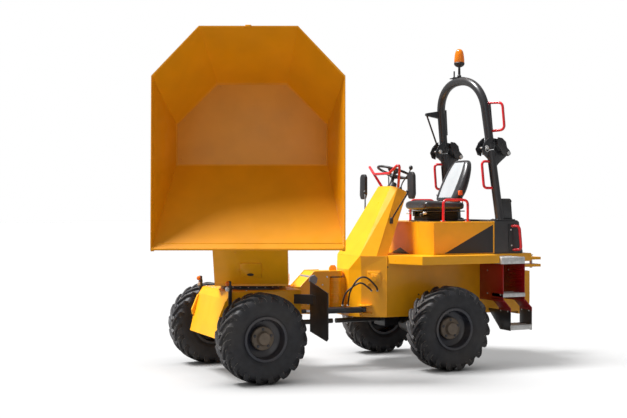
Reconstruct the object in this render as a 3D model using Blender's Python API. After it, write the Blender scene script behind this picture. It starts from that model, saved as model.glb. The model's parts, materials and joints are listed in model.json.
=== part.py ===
"""An articulated site dumper with a swivelling, tipping skip.

Metres, +Z up, +X towards the skip end, +Y to the driver's left. Pieces are drawn in the vehicle's own
frame, with its origin on the ground, midway between the axles. The whole vehicle is then shifted by
VEHICLE_X and VEHICLE_Y so that the box around it is centred on the world's origin.
The machine stands straight ahead, with its skip swivelled to the left and tipped.
"""

import math

import bmesh
import bpy
from mathutils import Matrix, Vector

# ---- driving dimensions --------------------------------------------------------------------------

VEHICLE_X = 0.3018
VEHICLE_Y = -0.1721

AXLE_X = 1.01  # half of the wheelbase
TRACK_Y = 0.745  # half of the track
WHEEL_RADIUS = 0.4225
TYRE_HALF_WIDTH = 0.145
SEAM = 0.0003  # gap between pieces that touch
STEER_X = -0.09  # upright hinge between the two halves
SWIVEL_X = 0.80
SWIVEL_REST = math.radians(66)
TIP_PIVOT = Vector((0.76, 0.0, 1.437))  # in the swivel's frame
TIP_REST = math.radians(88)
SKIP_PIVOT = (1.863, 0.44)  # the same pivot: forward of the skip's rear rim, and above its floor

DECK_Z = 1.1503
CHASSIS_TOP = 1.14
CHASSIS_HALF = 0.41
CHASSIS_REAR = -2.10
COVER_TOP = 1.50
ROPS_PIN = Vector((-1.877, 0.0, 2.208))
LEG_FOOT = Vector((-1.782, 0.511, COVER_TOP + 0.0065))
LEG_TOP = Vector((-1.696, 0.472, 2.24))
HOOP_SHOULDER = Vector((-1.648, 0.449, 2.64))
HOOP_TOP = Vector((-1.60, 0.0, 3.005))
ROPS_TUBE = 0.045
HANDLE_TUBE = 0.014
HOSE_RADIUS = 0.009

WHEEL_HUB = Vector((-0.785, 0.0, 1.952))
STEERING_AXIS = Vector((-0.325, 0.0, 0.946)).normalized()

TIP_RAM_BASE = Vector((-0.42, 0.0, 0.95))  # in the swivel's frame
TIP_RAM_EYE = Vector((-0.40, 0.0, -0.487))  # from the tip pivot, with the skip level
STEER_RAM_BASE = Vector((-0.27, 0.33, 0.60))
STEER_RAM_EYE = Vector((0.40, 0.215, 0.60))
RAM_LUGS = ((0.555, 0.565), (0.635, 0.645))  # heights of the lugs that hold the steering ram

COLOURS = {  # red, green, blue, roughness, metallic
    "yellow": (0.90, 0.50, 0.03, 0.45, 0.0),
    "skip_yellow": (0.75, 0.36, 0.02, 0.55, 0.0),
    "dark_grey": (0.06, 0.06, 0.065, 0.5, 0.0),
    "black_steel": (0.03, 0.03, 0.032, 0.5, 0.3),
    "red": (0.65, 0.03, 0.04, 0.4, 0.0),
    "tyre": (0.035, 0.035, 0.038, 0.9, 0.0),
    "rim": (0.045, 0.045, 0.05, 0.5, 0.4),
    "chrome": (0.75, 0.75, 0.76, 0.15, 1.0),
    "vinyl": (0.03, 0.03, 0.03, 0.6, 0.0),
    "amber": (0.95, 0.35, 0.03, 0.2, 0.0),
    "hose": (0.02, 0.02, 0.02, 0.7, 0.0),
}
SIDES = ((1, "left"), (-1, "right"))
ENDS = ((1, "front"), (-1, "rear"))


# ---- modelling helpers ---------------------------------------------------------------------------


def clear_scene():
    for obj in list(bpy.data.objects):
        bpy.data.objects.remove(obj, do_unlink=True)


def material(name):
    found = bpy.data.materials.get(name)
    if found:
        return found
    red, green, blue, roughness, metallic = COLOURS[name]
    made = bpy.data.materials.new(name)
    made.use_nodes = True
    shader = made.node_tree.nodes["Principled BSDF"]
    shader.inputs["Base Color"].default_value = (red, green, blue, 1)
    shader.inputs["Roughness"].default_value = roughness
    shader.inputs["Metallic"].default_value = metallic
    made.diffuse_color = (red, green, blue, 1)
    return made


def from_rings(rings, closed_ends=True):
    """A body through rings of equally many points, with both end rings filled."""
    bm = bmesh.new()
    loops = [[bm.verts.new(point) for point in ring] for ring in rings]
    for one, other in zip(loops, loops[1:] + ([] if closed_ends else loops[:1])):
        for i in range(len(one)):
            j = (i + 1) % len(one)
            bm.faces.new((one[i], one[j], other[j], other[i]))
    if closed_ends:
        bm.faces.new(loops[0])
        bm.faces.new(loops[-1])
    bmesh.ops.recalc_face_normals(bm, faces=bm.faces)
    mesh = bpy.data.meshes.new("shape")
    bm.to_mesh(mesh)
    bm.free()
    obj = bpy.data.objects.new("shape", mesh)
    bpy.context.scene.collection.objects.link(obj)
    return obj


def prism(axis, outline, low, high):
    """An outline in the plane across axis (XY, XZ or YZ), extruded from low to high."""
    place = {
        "X": lambda a, b, c: (c, a, b),
        "Y": lambda a, b, c: (a, c, b),
        "Z": lambda a, b, c: (a, b, c),
    }[axis]
    return from_rings([[place(a, b, c) for a, b in outline] for c in (low, high)])


def box(low, high):
    outline = [(low[0], low[1]), (high[0], low[1]), (high[0], high[1]), (low[0], high[1])]
    return prism("Z", outline, low[2], high[2])


def circle(centre, along, radius, sides, turn=0.0):
    along = Vector(along).normalized()
    across = along.orthogonal().normalized() if abs(along.y) < 0.999 else Vector((0, 0, -1))
    other = along.cross(across)
    angles = [turn + 2 * math.pi * i / sides for i in range(sides)]
    return [Vector(centre) + radius * (math.cos(a) * across + math.sin(a) * other) for a in angles]


def arc_points(centre, radius, degrees):
    """Points of a flat outline, round a centre."""
    turns = [math.radians(turn) for turn in degrees]
    return [(centre[0] + radius * math.cos(a), centre[1] + radius * math.sin(a)) for a in turns]


def rod(start, end, radius, sides=12):
    along = Vector(end) - Vector(start)
    return from_rings([circle(start, along, radius, sides), circle(end, along, radius, sides)])


def turned(centre, axis, profile, sides):
    """A body of (radius, distance along axis) points, turned. The first and last radius may be 0."""
    axis = Vector(axis).normalized()
    half_step = math.pi / sides  # a flat, not a corner, points down
    solid = profile[0][0] == 0
    rings = [
        circle(Vector(centre) + w * axis, axis, max(r, 1e-4), sides, half_step) for r, w in profile
    ]
    return from_rings(rings, closed_ends=solid)


def rounded(points, radius, steps=4):
    """A path whose inner corners are arcs, each drawn in a few steps."""
    points = [Vector(p) for p in points]
    path = [points[0]]
    for before, corner, after in zip(points, points[1:], points[2:]):
        into = (before - corner).normalized()
        out = (after - corner).normalized()
        half = into.angle(out) / 2
        shorter = min((before - corner).length, (after - corner).length)
        reach = min(radius / math.tan(half), 0.45 * shorter)
        start = corner + reach * into
        end = corner + reach * out
        for i in range(steps + 1):
            t = i / steps
            path.append((1 - t) ** 2 * start + 2 * t * (1 - t) * corner + t * t * end)
    return path + [points[-1]]


def tube(path, radius, sides=8):
    """A round bar along a path, its section carried along without twist."""
    path = [Vector(p) for p in path]
    tangents = []
    for i in range(len(path)):
        tangents.append((path[min(i + 1, len(path) - 1)] - path[max(i - 1, 0)]).normalized())
    across = tangents[0].orthogonal().normalized()
    rings = []
    for point, tangent in zip(path, tangents):
        across = (across - across.dot(tangent) * tangent).normalized()
        other = tangent.cross(across)
        angles = [2 * math.pi * i / sides for i in range(sides)]
        rings.append([point + radius * (math.cos(a) * across + math.sin(a) * other) for a in angles])
    return from_rings(rings)


def combined(shapes, cuts=()):
    """The union of shapes less the cuts, as one object; the shapes and cuts are used up."""
    base = shapes[0]
    for operation, others in (("UNION", shapes[1:]), ("DIFFERENCE", cuts)):
        for other in others:
            step = base.modifiers.new("join", "BOOLEAN")
            step.operation = operation
            step.object = other
            step.solver = "EXACT"
    graph = bpy.context.evaluated_depsgraph_get()
    mesh = bpy.data.meshes.new_from_object(base.evaluated_get(graph))
    base.modifiers.clear()
    base.data = mesh
    for other in list(shapes[1:]) + list(cuts):
        bpy.data.objects.remove(other, do_unlink=True)
    return base


def mirrored(half):
    """An outline from its +Y half, listed from front to rear."""
    return list(half) + [(x, -y) for x, y in reversed(half) if y > 1e-9]


class Frame:
    """An empty on a joint's axis, and how the pieces that ride on it are drawn."""

    def __init__(self, name, place, turn=(0, 0, 0), parent=None, drawn_from_ground=True):
        self.empty = bpy.data.objects.new(name, None)
        bpy.context.scene.collection.objects.link(self.empty)
        self.place = Vector(place)
        self.offset = -self.place if drawn_from_ground else Vector((0, 0, 0))
        self.empty.location = self.place + (parent.offset if parent else Vector((0, 0, 0)))
        self.empty.rotation_euler = turn
        if parent:
            self.empty.parent = parent.empty

    def add(self, name, colour, shape):
        shape.name = name
        shape.data.name = name
        shape.data.materials.clear()
        shape.data.materials.append(material(colour))
        shape.data.shade_smooth()
        shape.data.set_sharp_from_angle(angle=math.radians(35))
        shape.parent = self.empty
        shape.location = self.offset
        return shape


# ---- wheels and axles ----------------------------------------------------------------------------


def wheel(parent, end, end_name, side, side_name):
    place = Vector((end * AXLE_X, side * TRACK_Y, WHEEL_RADIUS))
    frame = Frame(f"{end_name}_{side_name}_wheel_axis", place, parent=parent)
    outward = (0, side, 0)
    sides = 28
    reach = WHEEL_RADIUS / math.cos(math.pi / sides)
    half = TYRE_HALF_WIDTH
    bead, flange = 0.1948, 0.2128
    tyre = [  # radius, distance outward from the wheel's middle
        (bead, -0.1175), (flange, -0.1175), (0.235, -0.136), (0.31, -half), (0.38, -0.137),
        (reach, -0.105), (reach, 0.105), (0.38, 0.137), (0.31, half), (0.235, 0.136),
        (flange, 0.1175), (bead, 0.1175),
    ]
    rim = [  # radius, distance outward
        (0, -0.006), (0.1865, -0.006), (0.1865, -0.128), (0.2115, -0.128), (0.2115, -0.118),
        (0.1943, -0.118), (0.1943, 0.118), (0.2115, 0.118), (0.2115, 0.128), (0.1865, 0.128),
        (0.1865, 0.010), (0.105, 0.010), (0.105, 0.050), (0.062, 0.055), (0.057, 0.095), (0, 0.095),
    ]
    frame.add(f"tyre_{end_name}_{side_name}", "tyre", turned(place, outward, tyre, sides))
    frame.add(f"rim_{end_name}_{side_name}", "rim", turned(place, outward, rim, sides))


def axle(parent, end, end_name):
    """A beam axle with its differential, the hubs that carry the wheels, and its two seats."""
    centre = Vector((end * AXLE_X, 0, WHEEL_RADIUS))
    inner_face = TRACK_Y - 0.006
    profile = [  # radius, distance from the middle
        (0, -inner_face + 0.0005), (0.12, -inner_face + 0.0005), (0.12, -0.60), (0.062, -0.57),
        (0.062, -0.14), (0.12, -0.09), (0.12, 0.09), (0.062, 0.14), (0.062, 0.57), (0.12, 0.60),
        (0.12, inner_face - 0.0005), (0, inner_face - 0.0005),
    ]
    shapes = [turned(centre, (0, 1, 0), profile, 16)]
    seat_top = 0.5597 if end > 0 else 0.60
    for side, _ in SIDES:
        low = (centre.x - 0.07, min(side * 0.32, side * 0.39), WHEEL_RADIUS)
        high = (centre.x + 0.07, max(side * 0.32, side * 0.39), seat_top)
        shapes.append(box(low, high))
    nose = centre + Vector((-end * 0.17, 0, 0.0425))
    shapes.append(rod(centre, nose, 0.05, 12))
    parent.add(f"{end_name}_axle", "black_steel", combined(shapes))


# ---- rear half -----------------------------------------------------------------------------------


def rear_chassis(rear):
    waist = [(-0.19, 0.14), (-0.27, 0.27), (-0.49, CHASSIS_HALF), (CHASSIS_REAR, CHASSIS_HALF)]
    top = [(-0.255, 0.265), (-0.262, 0.275), (-0.49, CHASSIS_HALF), (CHASSIS_REAR, CHASSIS_HALF)]
    levels = ((0.52, waist), (1.0, waist), (CHASSIS_TOP, top))  # height, half outline
    hull = from_rings([[(x, y, z) for x, y in mirrored(half)] for z, half in levels])
    hinge_boss = rod((STEER_X, 0, 0.606), (STEER_X, 0, 0.924), 0.085, 20)
    hinge_web = box((-0.25, -0.06, 0.62), (STEER_X, 0.06, 0.91))
    shapes = [hull, hinge_boss, hinge_web]
    for low, high in RAM_LUGS:
        outline = [
            (-0.30, 0.25), (-0.235, 0.25), (-0.235, 0.345), (-0.255, 0.36), (-0.33, 0.36), (-0.38, 0.32),
        ]
        shapes.append(prism("Z", outline, low, high))
    jaw_back = box((-2.37, -0.09, 0.97), (CHASSIS_REAR + 0.02, 0.09, 1.08))
    shapes.append(jaw_back)
    for low, high in ((0.97, 1.0), (1.05, 1.08)):
        shapes.append(box((-2.614, -0.09, low), (-2.36, 0.09, high)))
    hollow = box((-2.085, -0.40, 0.40), (-0.51, 0.40, 1.125))
    engine_bay = box((-1.72, -0.27, 1.0), (-1.08, 0.27, 1.2))
    rear.add("rear_chassis", "yellow", combined(shapes, [hollow, engine_bay]))


def counterweight(rear):
    face = CHASSIS_REAR - SEAM
    corner = [(-2.25 + 0.13 * (1 - math.sin(a)), 0.62 - 0.13 * math.cos(a)) for a in
              [math.pi / 2 * i / 5 for i in range(6)]]
    outline = [(face, 0.95), (face, 0.49), *corner, (-2.25, 0.95)]
    rear.add("rear_counterweight", "yellow", prism("Y", outline, -0.39, 0.39))


def deck(rear):
    edge = [(-0.632, 0.352), (-0.502, 0.405), (-0.67, 0.82), (-1.575, 0.82), (-1.575, 0.60),
            (-1.87, 0.60), (-2.15, 0.56)]
    inside = [(-0.30, 0.41 + SEAM), (-0.513, 0.41 + SEAM), (-0.676, 0.812), (-1.567, 0.812),
              (-1.567, 0.592), (-1.862, 0.592), (-2.142, 0.552)]
    bottom = 1.066
    plate = prism("Z", mirrored(edge), bottom, DECK_Z - SEAM)
    below = prism("Z", mirrored(inside), bottom - 0.1, CHASSIS_TOP + SEAM)
    behind = box((-2.2, -0.10, bottom - 0.1), (-2.0, 0.10, 1.09))
    engine_hole = box((-1.72, -0.27, 1.0), (-1.08, 0.27, 1.3))
    rear.add("deck", "yellow", combined([plate], [below, behind, engine_hole]))


def console(rear):
    foot = [(-0.255, 0.262), (-0.41, 0.34), (-0.535, 0.34)]
    head = [(-0.68, 0.14, 1.86), (-0.73, 0.20, 1.843), (-0.84, 0.20, 1.80)]
    bottom = [(x, y, CHASSIS_TOP + SEAM) for x, y in mirrored(foot)]
    top = head + [(x, -y, z) for x, y, z in reversed(head)]
    rear.add("console", "yellow", from_rings([bottom, top]))


def guard_rail(rear):
    half = [(-0.748, 0.178, 1.849), (-0.67, 0.36, 2.10), (-0.645, 0.17, 1.99)]
    points = half + [(x, -y, z) for x, y, z in reversed(half)]
    rear.add("guard_rail", "red", tube(rounded(points, 0.05), HANDLE_TUBE))


def mirrors(rear):
    for side, name in SIDES:
        arm = [(-0.615, side * 0.276, 1.50), (-0.615, side * 0.33, 1.55), (-0.70, side * 0.50, 1.80)]
        shapes = [tube(rounded(arm, 0.04), 0.009)]
        outline = [(0.47, 1.76), (0.50, 1.72), (0.58, 1.72), (0.61, 1.76), (0.60, 1.98), (0.57, 2.0),
                   (0.49, 2.0), (0.47, 1.98)]
        shapes.append(prism("X", [(side * y, z) for y, z in outline], -0.725, -0.685))
        rear.add(f"mirror_{name}", "dark_grey", combined(shapes))


def seat_box(rear):
    half = [(-0.87, 0.38), (-0.954, 0.56), (-1.6847, 0.56)]
    shell = prism("Z", mirrored(half), DECK_Z, 1.485)
    room = box((-1.66, -0.35, 1.0), (-1.06, 0.35, 1.46))
    rear.add("seat_box", "yellow", combined([shell], [room]))


def rear_cover(rear):
    bottom = [(-1.685, 0.56), (-2.063, 0.56)]
    top = [(-1.685, 0.56), (-2.012, 0.56)]
    levels = ((DECK_Z, bottom), (COVER_TOP, top))
    shapes = [from_rings([[(x, y, z) for x, y in mirrored(half)] for z, half in levels])]
    for side, _ in SIDES:
        path = [(-1.90, side * 0.55, 1.44), (-1.96, side * 0.625, 1.44), (-1.985, side * 0.625, 1.19),
                (-1.92, side * 0.55, 1.19)]
        shapes.append(tube(rounded(path, 0.04, 3), HANDLE_TUBE))
    rear.add("rear_cover", "dark_grey", combined(shapes))


def engine(rear):
    block = box((-1.65, -0.24, 0.66), (-1.12, 0.24, 1.28))
    gearbox = box((-1.16, -0.15, 0.62), (-0.62, 0.15, 0.92))
    drop_box = box((-0.78, -0.12, 0.40), (-0.62, 0.12, 0.65))
    rear.add("engine_and_gearbox", "black_steel", combined([block, gearbox, drop_box]))


def seat(rear):
    base = prism("Y", [(-1.08, 1.4853), (-1.53, 1.4853), (-1.53, 1.60), (-1.10, 1.60)], -0.20, 0.20)
    rear.add("seat_suspension", "black_steel", base)
    pan = [
        (-1.04, 1.63), (-1.06, 1.6003), (-1.55, 1.6003), (-1.55, 1.70), (-1.40, 1.695), (-1.08, 1.714),
    ]
    rear.add("seat_cushion", "vinyl", prism("Y", pan, -0.245, 0.245))
    back = [  # height, front X, rear X, half width
        (1.7003, -1.40, -1.56, 0.22), (1.80, -1.455, -1.60, 0.235), (1.98, -1.53, -1.65, 0.225),
        (2.10, -1.58, -1.69, 0.185), (2.15, -1.62, -1.69, 0.13),
    ]
    rings = []
    for z, front, rear_x, half in back:
        rings.append([(front, half * 0.8, z), (front - 0.03, half, z), (rear_x, half, z),
                      (rear_x, -half, z), (front - 0.03, -half, z), (front, -half * 0.8, z)])
    rear.add("seat_back", "vinyl", from_rings(rings))
    for side, name in SIDES:
        y = side * 0.35
        foot = 1.4853
        path = [(-1.19, y, foot), (-1.19, y, 1.714), (-1.49, y, 1.714), (-1.49, y, foot)]
        rear.add(f"seat_handle_{name}", "red", tube(rounded(path, 0.05), HANDLE_TUBE))


def rops_legs(rear):
    for side, name in SIDES:
        def place(x, y, z):
            return Vector((x, side * y, z))

        shapes = [rod(place(*LEG_FOOT), place(*LEG_TOP), ROPS_TUBE, 14)]
        y = side * LEG_TOP.y
        lug = [
            (-1.66, 2.17), (-1.66, 2.238), (-1.85, 2.238), (-1.89, 2.236),
            (-1.907, 2.208), (-1.89, 2.18), (-1.79, 2.10), (-1.72, 2.02),
        ]
        shapes.append(prism("Y", lug, y - 0.012, y + 0.012))
        front_lug = [(-1.68, 2.13), (-1.60, 2.20), (-1.585, 2.238), (-1.68, 2.238)]
        shapes.append(prism("Y", front_lug, y - 0.012, y + 0.012))
        foot = side * 0.511
        gusset = [(-1.78, COVER_TOP + SEAM), (-1.94, COVER_TOP + SEAM), (-1.92, 1.73), (-1.77, 1.73)]
        shapes.append(prism("Y", gusset, foot - 0.006, foot + 0.006))
        low, high = sorted((side * 0.462, side * 0.556))
        shapes.append(box((-1.95, low, COVER_TOP + SEAM), (-1.70, high, COVER_TOP + 0.012)))
        handle = [place(-1.70, 0.478, 2.12), place(-1.575, 0.485, 2.12), place(-1.60, 0.49, 1.84),
                  place(-1.735, 0.492, 1.84)]
        shapes.append(tube(rounded(handle, 0.04, 3), HANDLE_TUBE))
        pin_hole = rod((ROPS_PIN.x, y - 0.1, ROPS_PIN.z), (ROPS_PIN.x, y + 0.1, ROPS_PIN.z), 0.0165, 12)
        rear.add(f"rops_leg_{name}", "black_steel", combined(shapes, [pin_hole]))


def steps(rear):
    """On each side: two folded side plates, the lower half set back, and three treads between them."""
    plate = 0.008
    for side, name in SIDES:
        shapes = []
        for x in (-1.60, -1.86):
            low, high = sorted((side * (CHASSIS_HALF + SEAM), side * 0.845))
            shapes.append(box((x - plate, low, 0.67), (x, high, 1.062 if x > -1.7 else 1.06)))
            fold = [(x, 0.75), (x - plate, 0.75), (x - plate, 0.69), (x - 0.09 - plate, 0.60),
                    (x - 0.09 - plate, 0.37), (x - 0.09, 0.37), (x - 0.09, 0.60), (x, 0.69)]
            low, high = sorted((side * 0.63, side * 0.845))
            shapes.append(prism("Y", fold, low, high))
        low, high = sorted((side * 0.61, side * 0.85))
        shapes.append(box((-1.865, low, 1.055), (-1.58, high, 1.13)))
        low, high = sorted((side * 0.64, side * 0.85))
        shapes.append(box((-1.87, low, 0.715), (-1.60, high, 0.76)))
        shapes.append(box((-1.955, low, 0.375), (-1.69, high, 0.43)))
        rear.add(f"steps_{name}", "red", combined(shapes))


def curve_through(points, steps):
    """A smooth path that passes through every point."""
    path = []
    for i in range(steps + 1):
        along = i / steps * (len(points) - 1)
        k = min(int(along), len(points) - 2)
        f = along - k
        before, start, end, after = (points[max(k - 1, 0)], points[k], points[k + 1],
                                     points[min(k + 2, len(points) - 1)])
        path.append(0.5 * (2 * start + (end - before) * f
                           + (2 * before - 5 * start + 4 * end - after) * f * f
                           + (3 * start - before - 3 * end + after) * f ** 3))
    return path


def hoses(rear):
    """Two hoses from the chassis panel, over in an arch and down to the steering ram."""
    routes = {
        "outer": (
            (-0.405, 0.366, 0.79), (-0.355, 0.43, 0.84), (-0.25, 0.435, 0.93), (-0.16, 0.425, 0.92),
            (-0.10, 0.37, 0.80), (-0.10, 0.32, 0.69), (-0.105, 0.302, 0.646),
        ),
        "inner": (
            (-0.352, 0.338, 0.79), (-0.302, 0.388, 0.82), (-0.222, 0.388, 0.872), (-0.16, 0.375, 0.862),
            (-0.07, 0.335, 0.78), (-0.045, 0.31, 0.69), (-0.05, 0.292, 0.646),
        ),
    }
    for name, route in routes.items():
        path = curve_through([Vector(point) for point in route], 24)
        rear.add(f"steering_hose_{name}", "hose", tube(path, HOSE_RADIUS, 6))


# ---- front half ----------------------------------------------------------------------------------


def front_chassis(front):
    body = [(1.33, 0.39), (1.30, 0.517), (1.235, 0.763), (1.20, 0.83), (0.46, 0.83), (0.46, 0.56),
            (1.18, 0.56), (1.18, 0.41)]
    neck = [(0.55, 0.57), (0.55, 0.82), (0.34, 0.83), (0.19, 0.985), (0.02, 0.985), (0.02, 0.55)]
    shapes = [prism("Y", body, -0.42, 0.42), prism("Y", neck, -0.13, 0.13)]
    for low, high in ((0.93, 0.985), (0.55, 0.60)):  # ears of the upright hinge
        round_end = [(STEER_X - 0.09 * math.sin(a), -0.09 * math.cos(a)) for a in
                     [math.pi * i / 10 for i in range(11)]]
        shapes.append(prism("Z", [(0.05, 0.09), (0.05, -0.09), *round_end], low, high))
    for low, high in RAM_LUGS:
        arm = [(0.47, 0.10), (0.47, 0.25), (0.385, 0.25), (0.36, 0.22), (0.36, 0.10)]
        shapes.append(prism("Z", arm, low, high))
    eye = [
        (-0.115, 0.97), (-0.115, 1.015), (-0.095, 1.04), (-0.055, 1.04), (-0.035, 1.015), (-0.035, 0.97),
    ]
    shapes.append(prism("Y", eye, -0.008, 0.008))
    tie_down = [(1.20, 0.54), (1.20, 0.75), (1.25, 0.75), (1.315, 0.60), (1.305, 0.55), (1.26, 0.53)]
    for side, _ in SIDES:
        low, high = sorted((side * 0.40, side * 0.432))
        shapes.append(prism("Y", tie_down, low, high))
    front.add("front_chassis", "yellow", combined(shapes))


def slew_ring(front):
    profile = [  # radius, height
        (0, 0.83 + SEAM), (0.33, 0.83 + SEAM), (0.33, 0.855), (0.30, 0.858), (0.30, 0.875), (0, 0.875),
    ]
    front.add("slew_ring", "black_steel", turned((SWIVEL_X, 0, 0), (0, 0, 1), profile, 32))


def mudflaps(front):
    for side, name in SIDES:
        flap = [(0.50, 0.92), (0.50, 0.43), (0.88, 0.375), (0.91, 0.40), (0.91, 0.83)]
        shapes = [prism("X", [(side * y, z) for y, z in flap], 0.395, 0.405)]
        arm = [(0.40, 0.49), (0.40, 0.60), (0.54, 0.42 + SEAM), (0.47, 0.42 + SEAM)]
        shapes.append(prism("Z", [(x, side * y) for x, y in arm], 0.70, 0.79))
        front.add(f"mudflap_{name}", "black_steel", combined(shapes))


def front_lamps(front):
    for side, name in SIDES:
        low, high = sorted((side * (0.432 + SEAM), side * 0.445))
        shapes = [box((1.19, low, 0.66), (1.225, high, 0.90))]
        low, high = sorted((side * 0.405, side * 0.465))
        shapes.append(box((1.20, low, 0.835), (1.255, high, 0.94)))
        front.add(f"front_lamp_{name}", "black_steel", combined(shapes))


def shafts(rear, front):
    """The drive shaft, in two lengths that meet under the upright hinge."""
    z = 0.465
    front.add("front_drive_shaft", "black_steel", rod((-0.07, 0, z), (0.82, 0, z), 0.025))
    rear.add("rear_drive_shaft", "black_steel", rod((-0.6195, 0, z), (-0.11, 0, z), 0.025))


# ---- swivel, skip and its ram --------------------------------------------------------------------


def swivel_frame(swivel):
    """A base plate on the slew ring, two wedge plates up to the tip pivot, and the leaning front plate."""
    p = TIP_PIVOT
    base = prism("Z", [(0.40, 0.355), (-0.30, 0.33), (-0.30, -0.33), (0.40, -0.355)], 0.88, 0.90)
    tongue = box((-0.46, -0.075, 0.88), (-0.25, 0.075, 0.889))
    shapes = [base, tongue]
    arc = [(p.x + 0.035 * math.cos(a), p.z + 0.035 * math.sin(a)) for a in
           [math.radians(d) for d in (-20, 20, 60, 100, 129)]]
    wedge = [(-0.28, 0.88), (0.385, 0.88), (0.73, 1.38), *arc, (0.135, 0.955), (-0.28, 0.955)]
    for side in (1, -1):
        low, high = sorted((side * 0.34, side * 0.355))
        shapes.append(prism("Y", wedge, low, high))
        low, high = sorted((side * 0.058, side * 0.07))
        shapes.append(box((-0.46, low, 0.88), (-0.25, high, 0.965)))
    lean = [(0.385, 0.88), (0.732, 1.385), (0.72, 1.392), (0.372, 0.885)]
    shapes.append(prism("Y", lean, -0.35, 0.35))
    shapes.append(rod((p.x, -0.39, p.z), (p.x, 0.39, p.z), 0.022, 16))
    swivel.add("swivel_frame", "yellow", combined(shapes))


def skip_body(tip):
    """The skip, drawn level: forward of its rear rim, and above its floor, both from the tip pivot."""
    ahead, above = SKIP_PIVOT
    depth, wall, over = 0.65, 0.008, 0.10
    floor = [(0.43, 0.342), (0.83, 0.743), (1.246, 0.743)]  # forward, half width
    rim = [(0.0, 0.455), (0.46, 0.89), (2.06, 0.89)]
    # At the slanting rear corners the wall's thickness is shared between both directions.
    inward = [(wall, -wall * 0.4), (wall, -wall), (-wall * 0.8, -wall)]
    rise = (depth + over - wall) / depth

    def ring(half, height):
        points = [*half, *((forward, -y) for forward, y in reversed(half))]
        return [(forward - ahead, y, height - above) for forward, y in points]

    inner_floor = [(a + da, y + dy) for (a, y), (da, dy) in zip(floor, inward)]
    inner_rim = [
        (a0 + (a1 - a0) * rise + da, y0 + (y1 - y0) * rise + dy)
        for (a0, y0), (a1, y1), (da, dy) in zip(floor, rim, inward)
    ]
    outer = from_rings([ring(floor, 0.0), ring(rim, depth)])
    hollow = from_rings([ring(inner_floor, wall), ring(inner_rim, depth + over)])
    shapes = [combined([outer], [hollow])]
    for side, _ in SIDES:
        low, high = sorted((side * 0.362, side * 0.378))
        ear = [(-0.40, -0.262), *arc_points((0, 0), 0.04, (-140, -100, -60, -20)), (0.12, 0.142)]
        shapes.append(prism("Y", ear, low, high))
        low, high = sorted((side * 0.056, side * 0.068))
        eye = (TIP_RAM_EYE.x, TIP_RAM_EYE.z)
        round_end = arc_points(eye, 0.038, (-170, -130, -90, -50, -10))
        shapes.append(prism("Y", [(-0.52, -0.355), *round_end, (-0.26, -0.152)], low, high))
    pin_hole = rod((0, -0.5, 0), (0, 0.5, 0), 0.0245, 16)
    tip.add("skip", "skip_yellow", combined(shapes, [pin_hole]))


def ram(barrel, slide, name, base, eye, sizes, across):
    """A cylinder along base to eye: a barrel with an open bore, and a rod that slides in it."""
    along = (eye - base).normalized()
    length = (eye - base).length
    radius, rod_radius, eye_radius, mouth, bore_start, rod_start, half_width = sizes
    across = Vector(across)
    body = rod(base + along * 0.01, base + along * mouth, radius, 16)
    end_eye = rod(base - across * half_width, base + across * half_width, eye_radius, 14)
    bore = rod(base + along * bore_start, base + along * (mouth + 0.1), rod_radius + 0.0025, 14)
    barrel.add(f"{name}_cylinder_barrel", "black_steel", combined([body, end_eye], [bore]))
    shaft = rod(base + along * rod_start, base + along * length, rod_radius, 14)
    rod_eye = rod(eye - across * half_width, eye + across * half_width, eye_radius - 0.004, 14)
    slide.add(f"{name}_cylinder_rod", "chrome", combined([shaft, rod_eye]))


# ---- roll-over hoop, beacon, steering wheel ------------------------------------------------------


def rops_hoop(hoop):
    start = LEG_TOP.lerp(HOOP_SHOULDER, 0.09)
    right_start = Vector((start.x, -start.y, start.z))
    path = [start]
    steps_up = 14
    for i in range(steps_up + 1):
        a = math.pi * i / steps_up
        y = HOOP_SHOULDER.y * math.copysign(abs(math.cos(a)) ** 0.9, math.cos(a))
        rise = math.sin(a) ** 0.9
        x = HOOP_SHOULDER.x + (HOOP_TOP.x - HOOP_SHOULDER.x) * rise
        z = HOOP_SHOULDER.z + (HOOP_TOP.z - HOOP_SHOULDER.z) * rise
        path.append((x, y, z))
    path.append(right_start)
    shapes = [tube(path, ROPS_TUBE, 10)]
    for side, _ in SIDES:
        y = side * LEG_TOP.y
        block = [(-1.76, 2.275), (-1.75, 2.35), (-1.64, 2.35), (-1.625, 2.275)]
        shapes.append(prism("Y", block, y - 0.060, y + 0.060))
        cheek = [
            (-1.87, 2.176), (-1.90, 2.19), (-1.909, 2.21), (-1.89, 2.24), (-1.86, 2.27), (-1.845, 2.33),
            (-1.78, 2.385), (-1.66, 2.385), (-1.58, 2.32), (-1.545, 2.25), (-1.57, 2.19), (-1.64, 2.16),
        ]
        for face in (0.056, -0.064):
            shapes.append(prism("Y", cheek, y + face, y + face + 0.008))
        pin_ends = [(ROPS_PIN.x, y + end * 0.072, ROPS_PIN.z) for end in (-1, 1)]
        shapes.append(rod(*pin_ends, 0.014, 12))
        handle = [
            (-1.665, side * 0.447, 2.74), (-1.755, side * 0.60, 2.735),
            (-1.78, side * 0.605, 2.45), (-1.69, side * 0.46, 2.44),
        ]
        shapes.append(tube(rounded(handle, 0.05, 3), HANDLE_TUBE))
    bracket = [(-1.64, 2.725), (-1.445, 2.69), (-1.445, 2.66), (-1.66, 2.625)]
    shapes.append(prism("Y", bracket, -0.475, -0.435))
    shapes.append(rod((-1.452, -0.45, 2.675), (-1.645, -0.533, 2.32), 0.010, 8))
    hoop.add("rops_hoop", "black_steel", combined(shapes))


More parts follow.
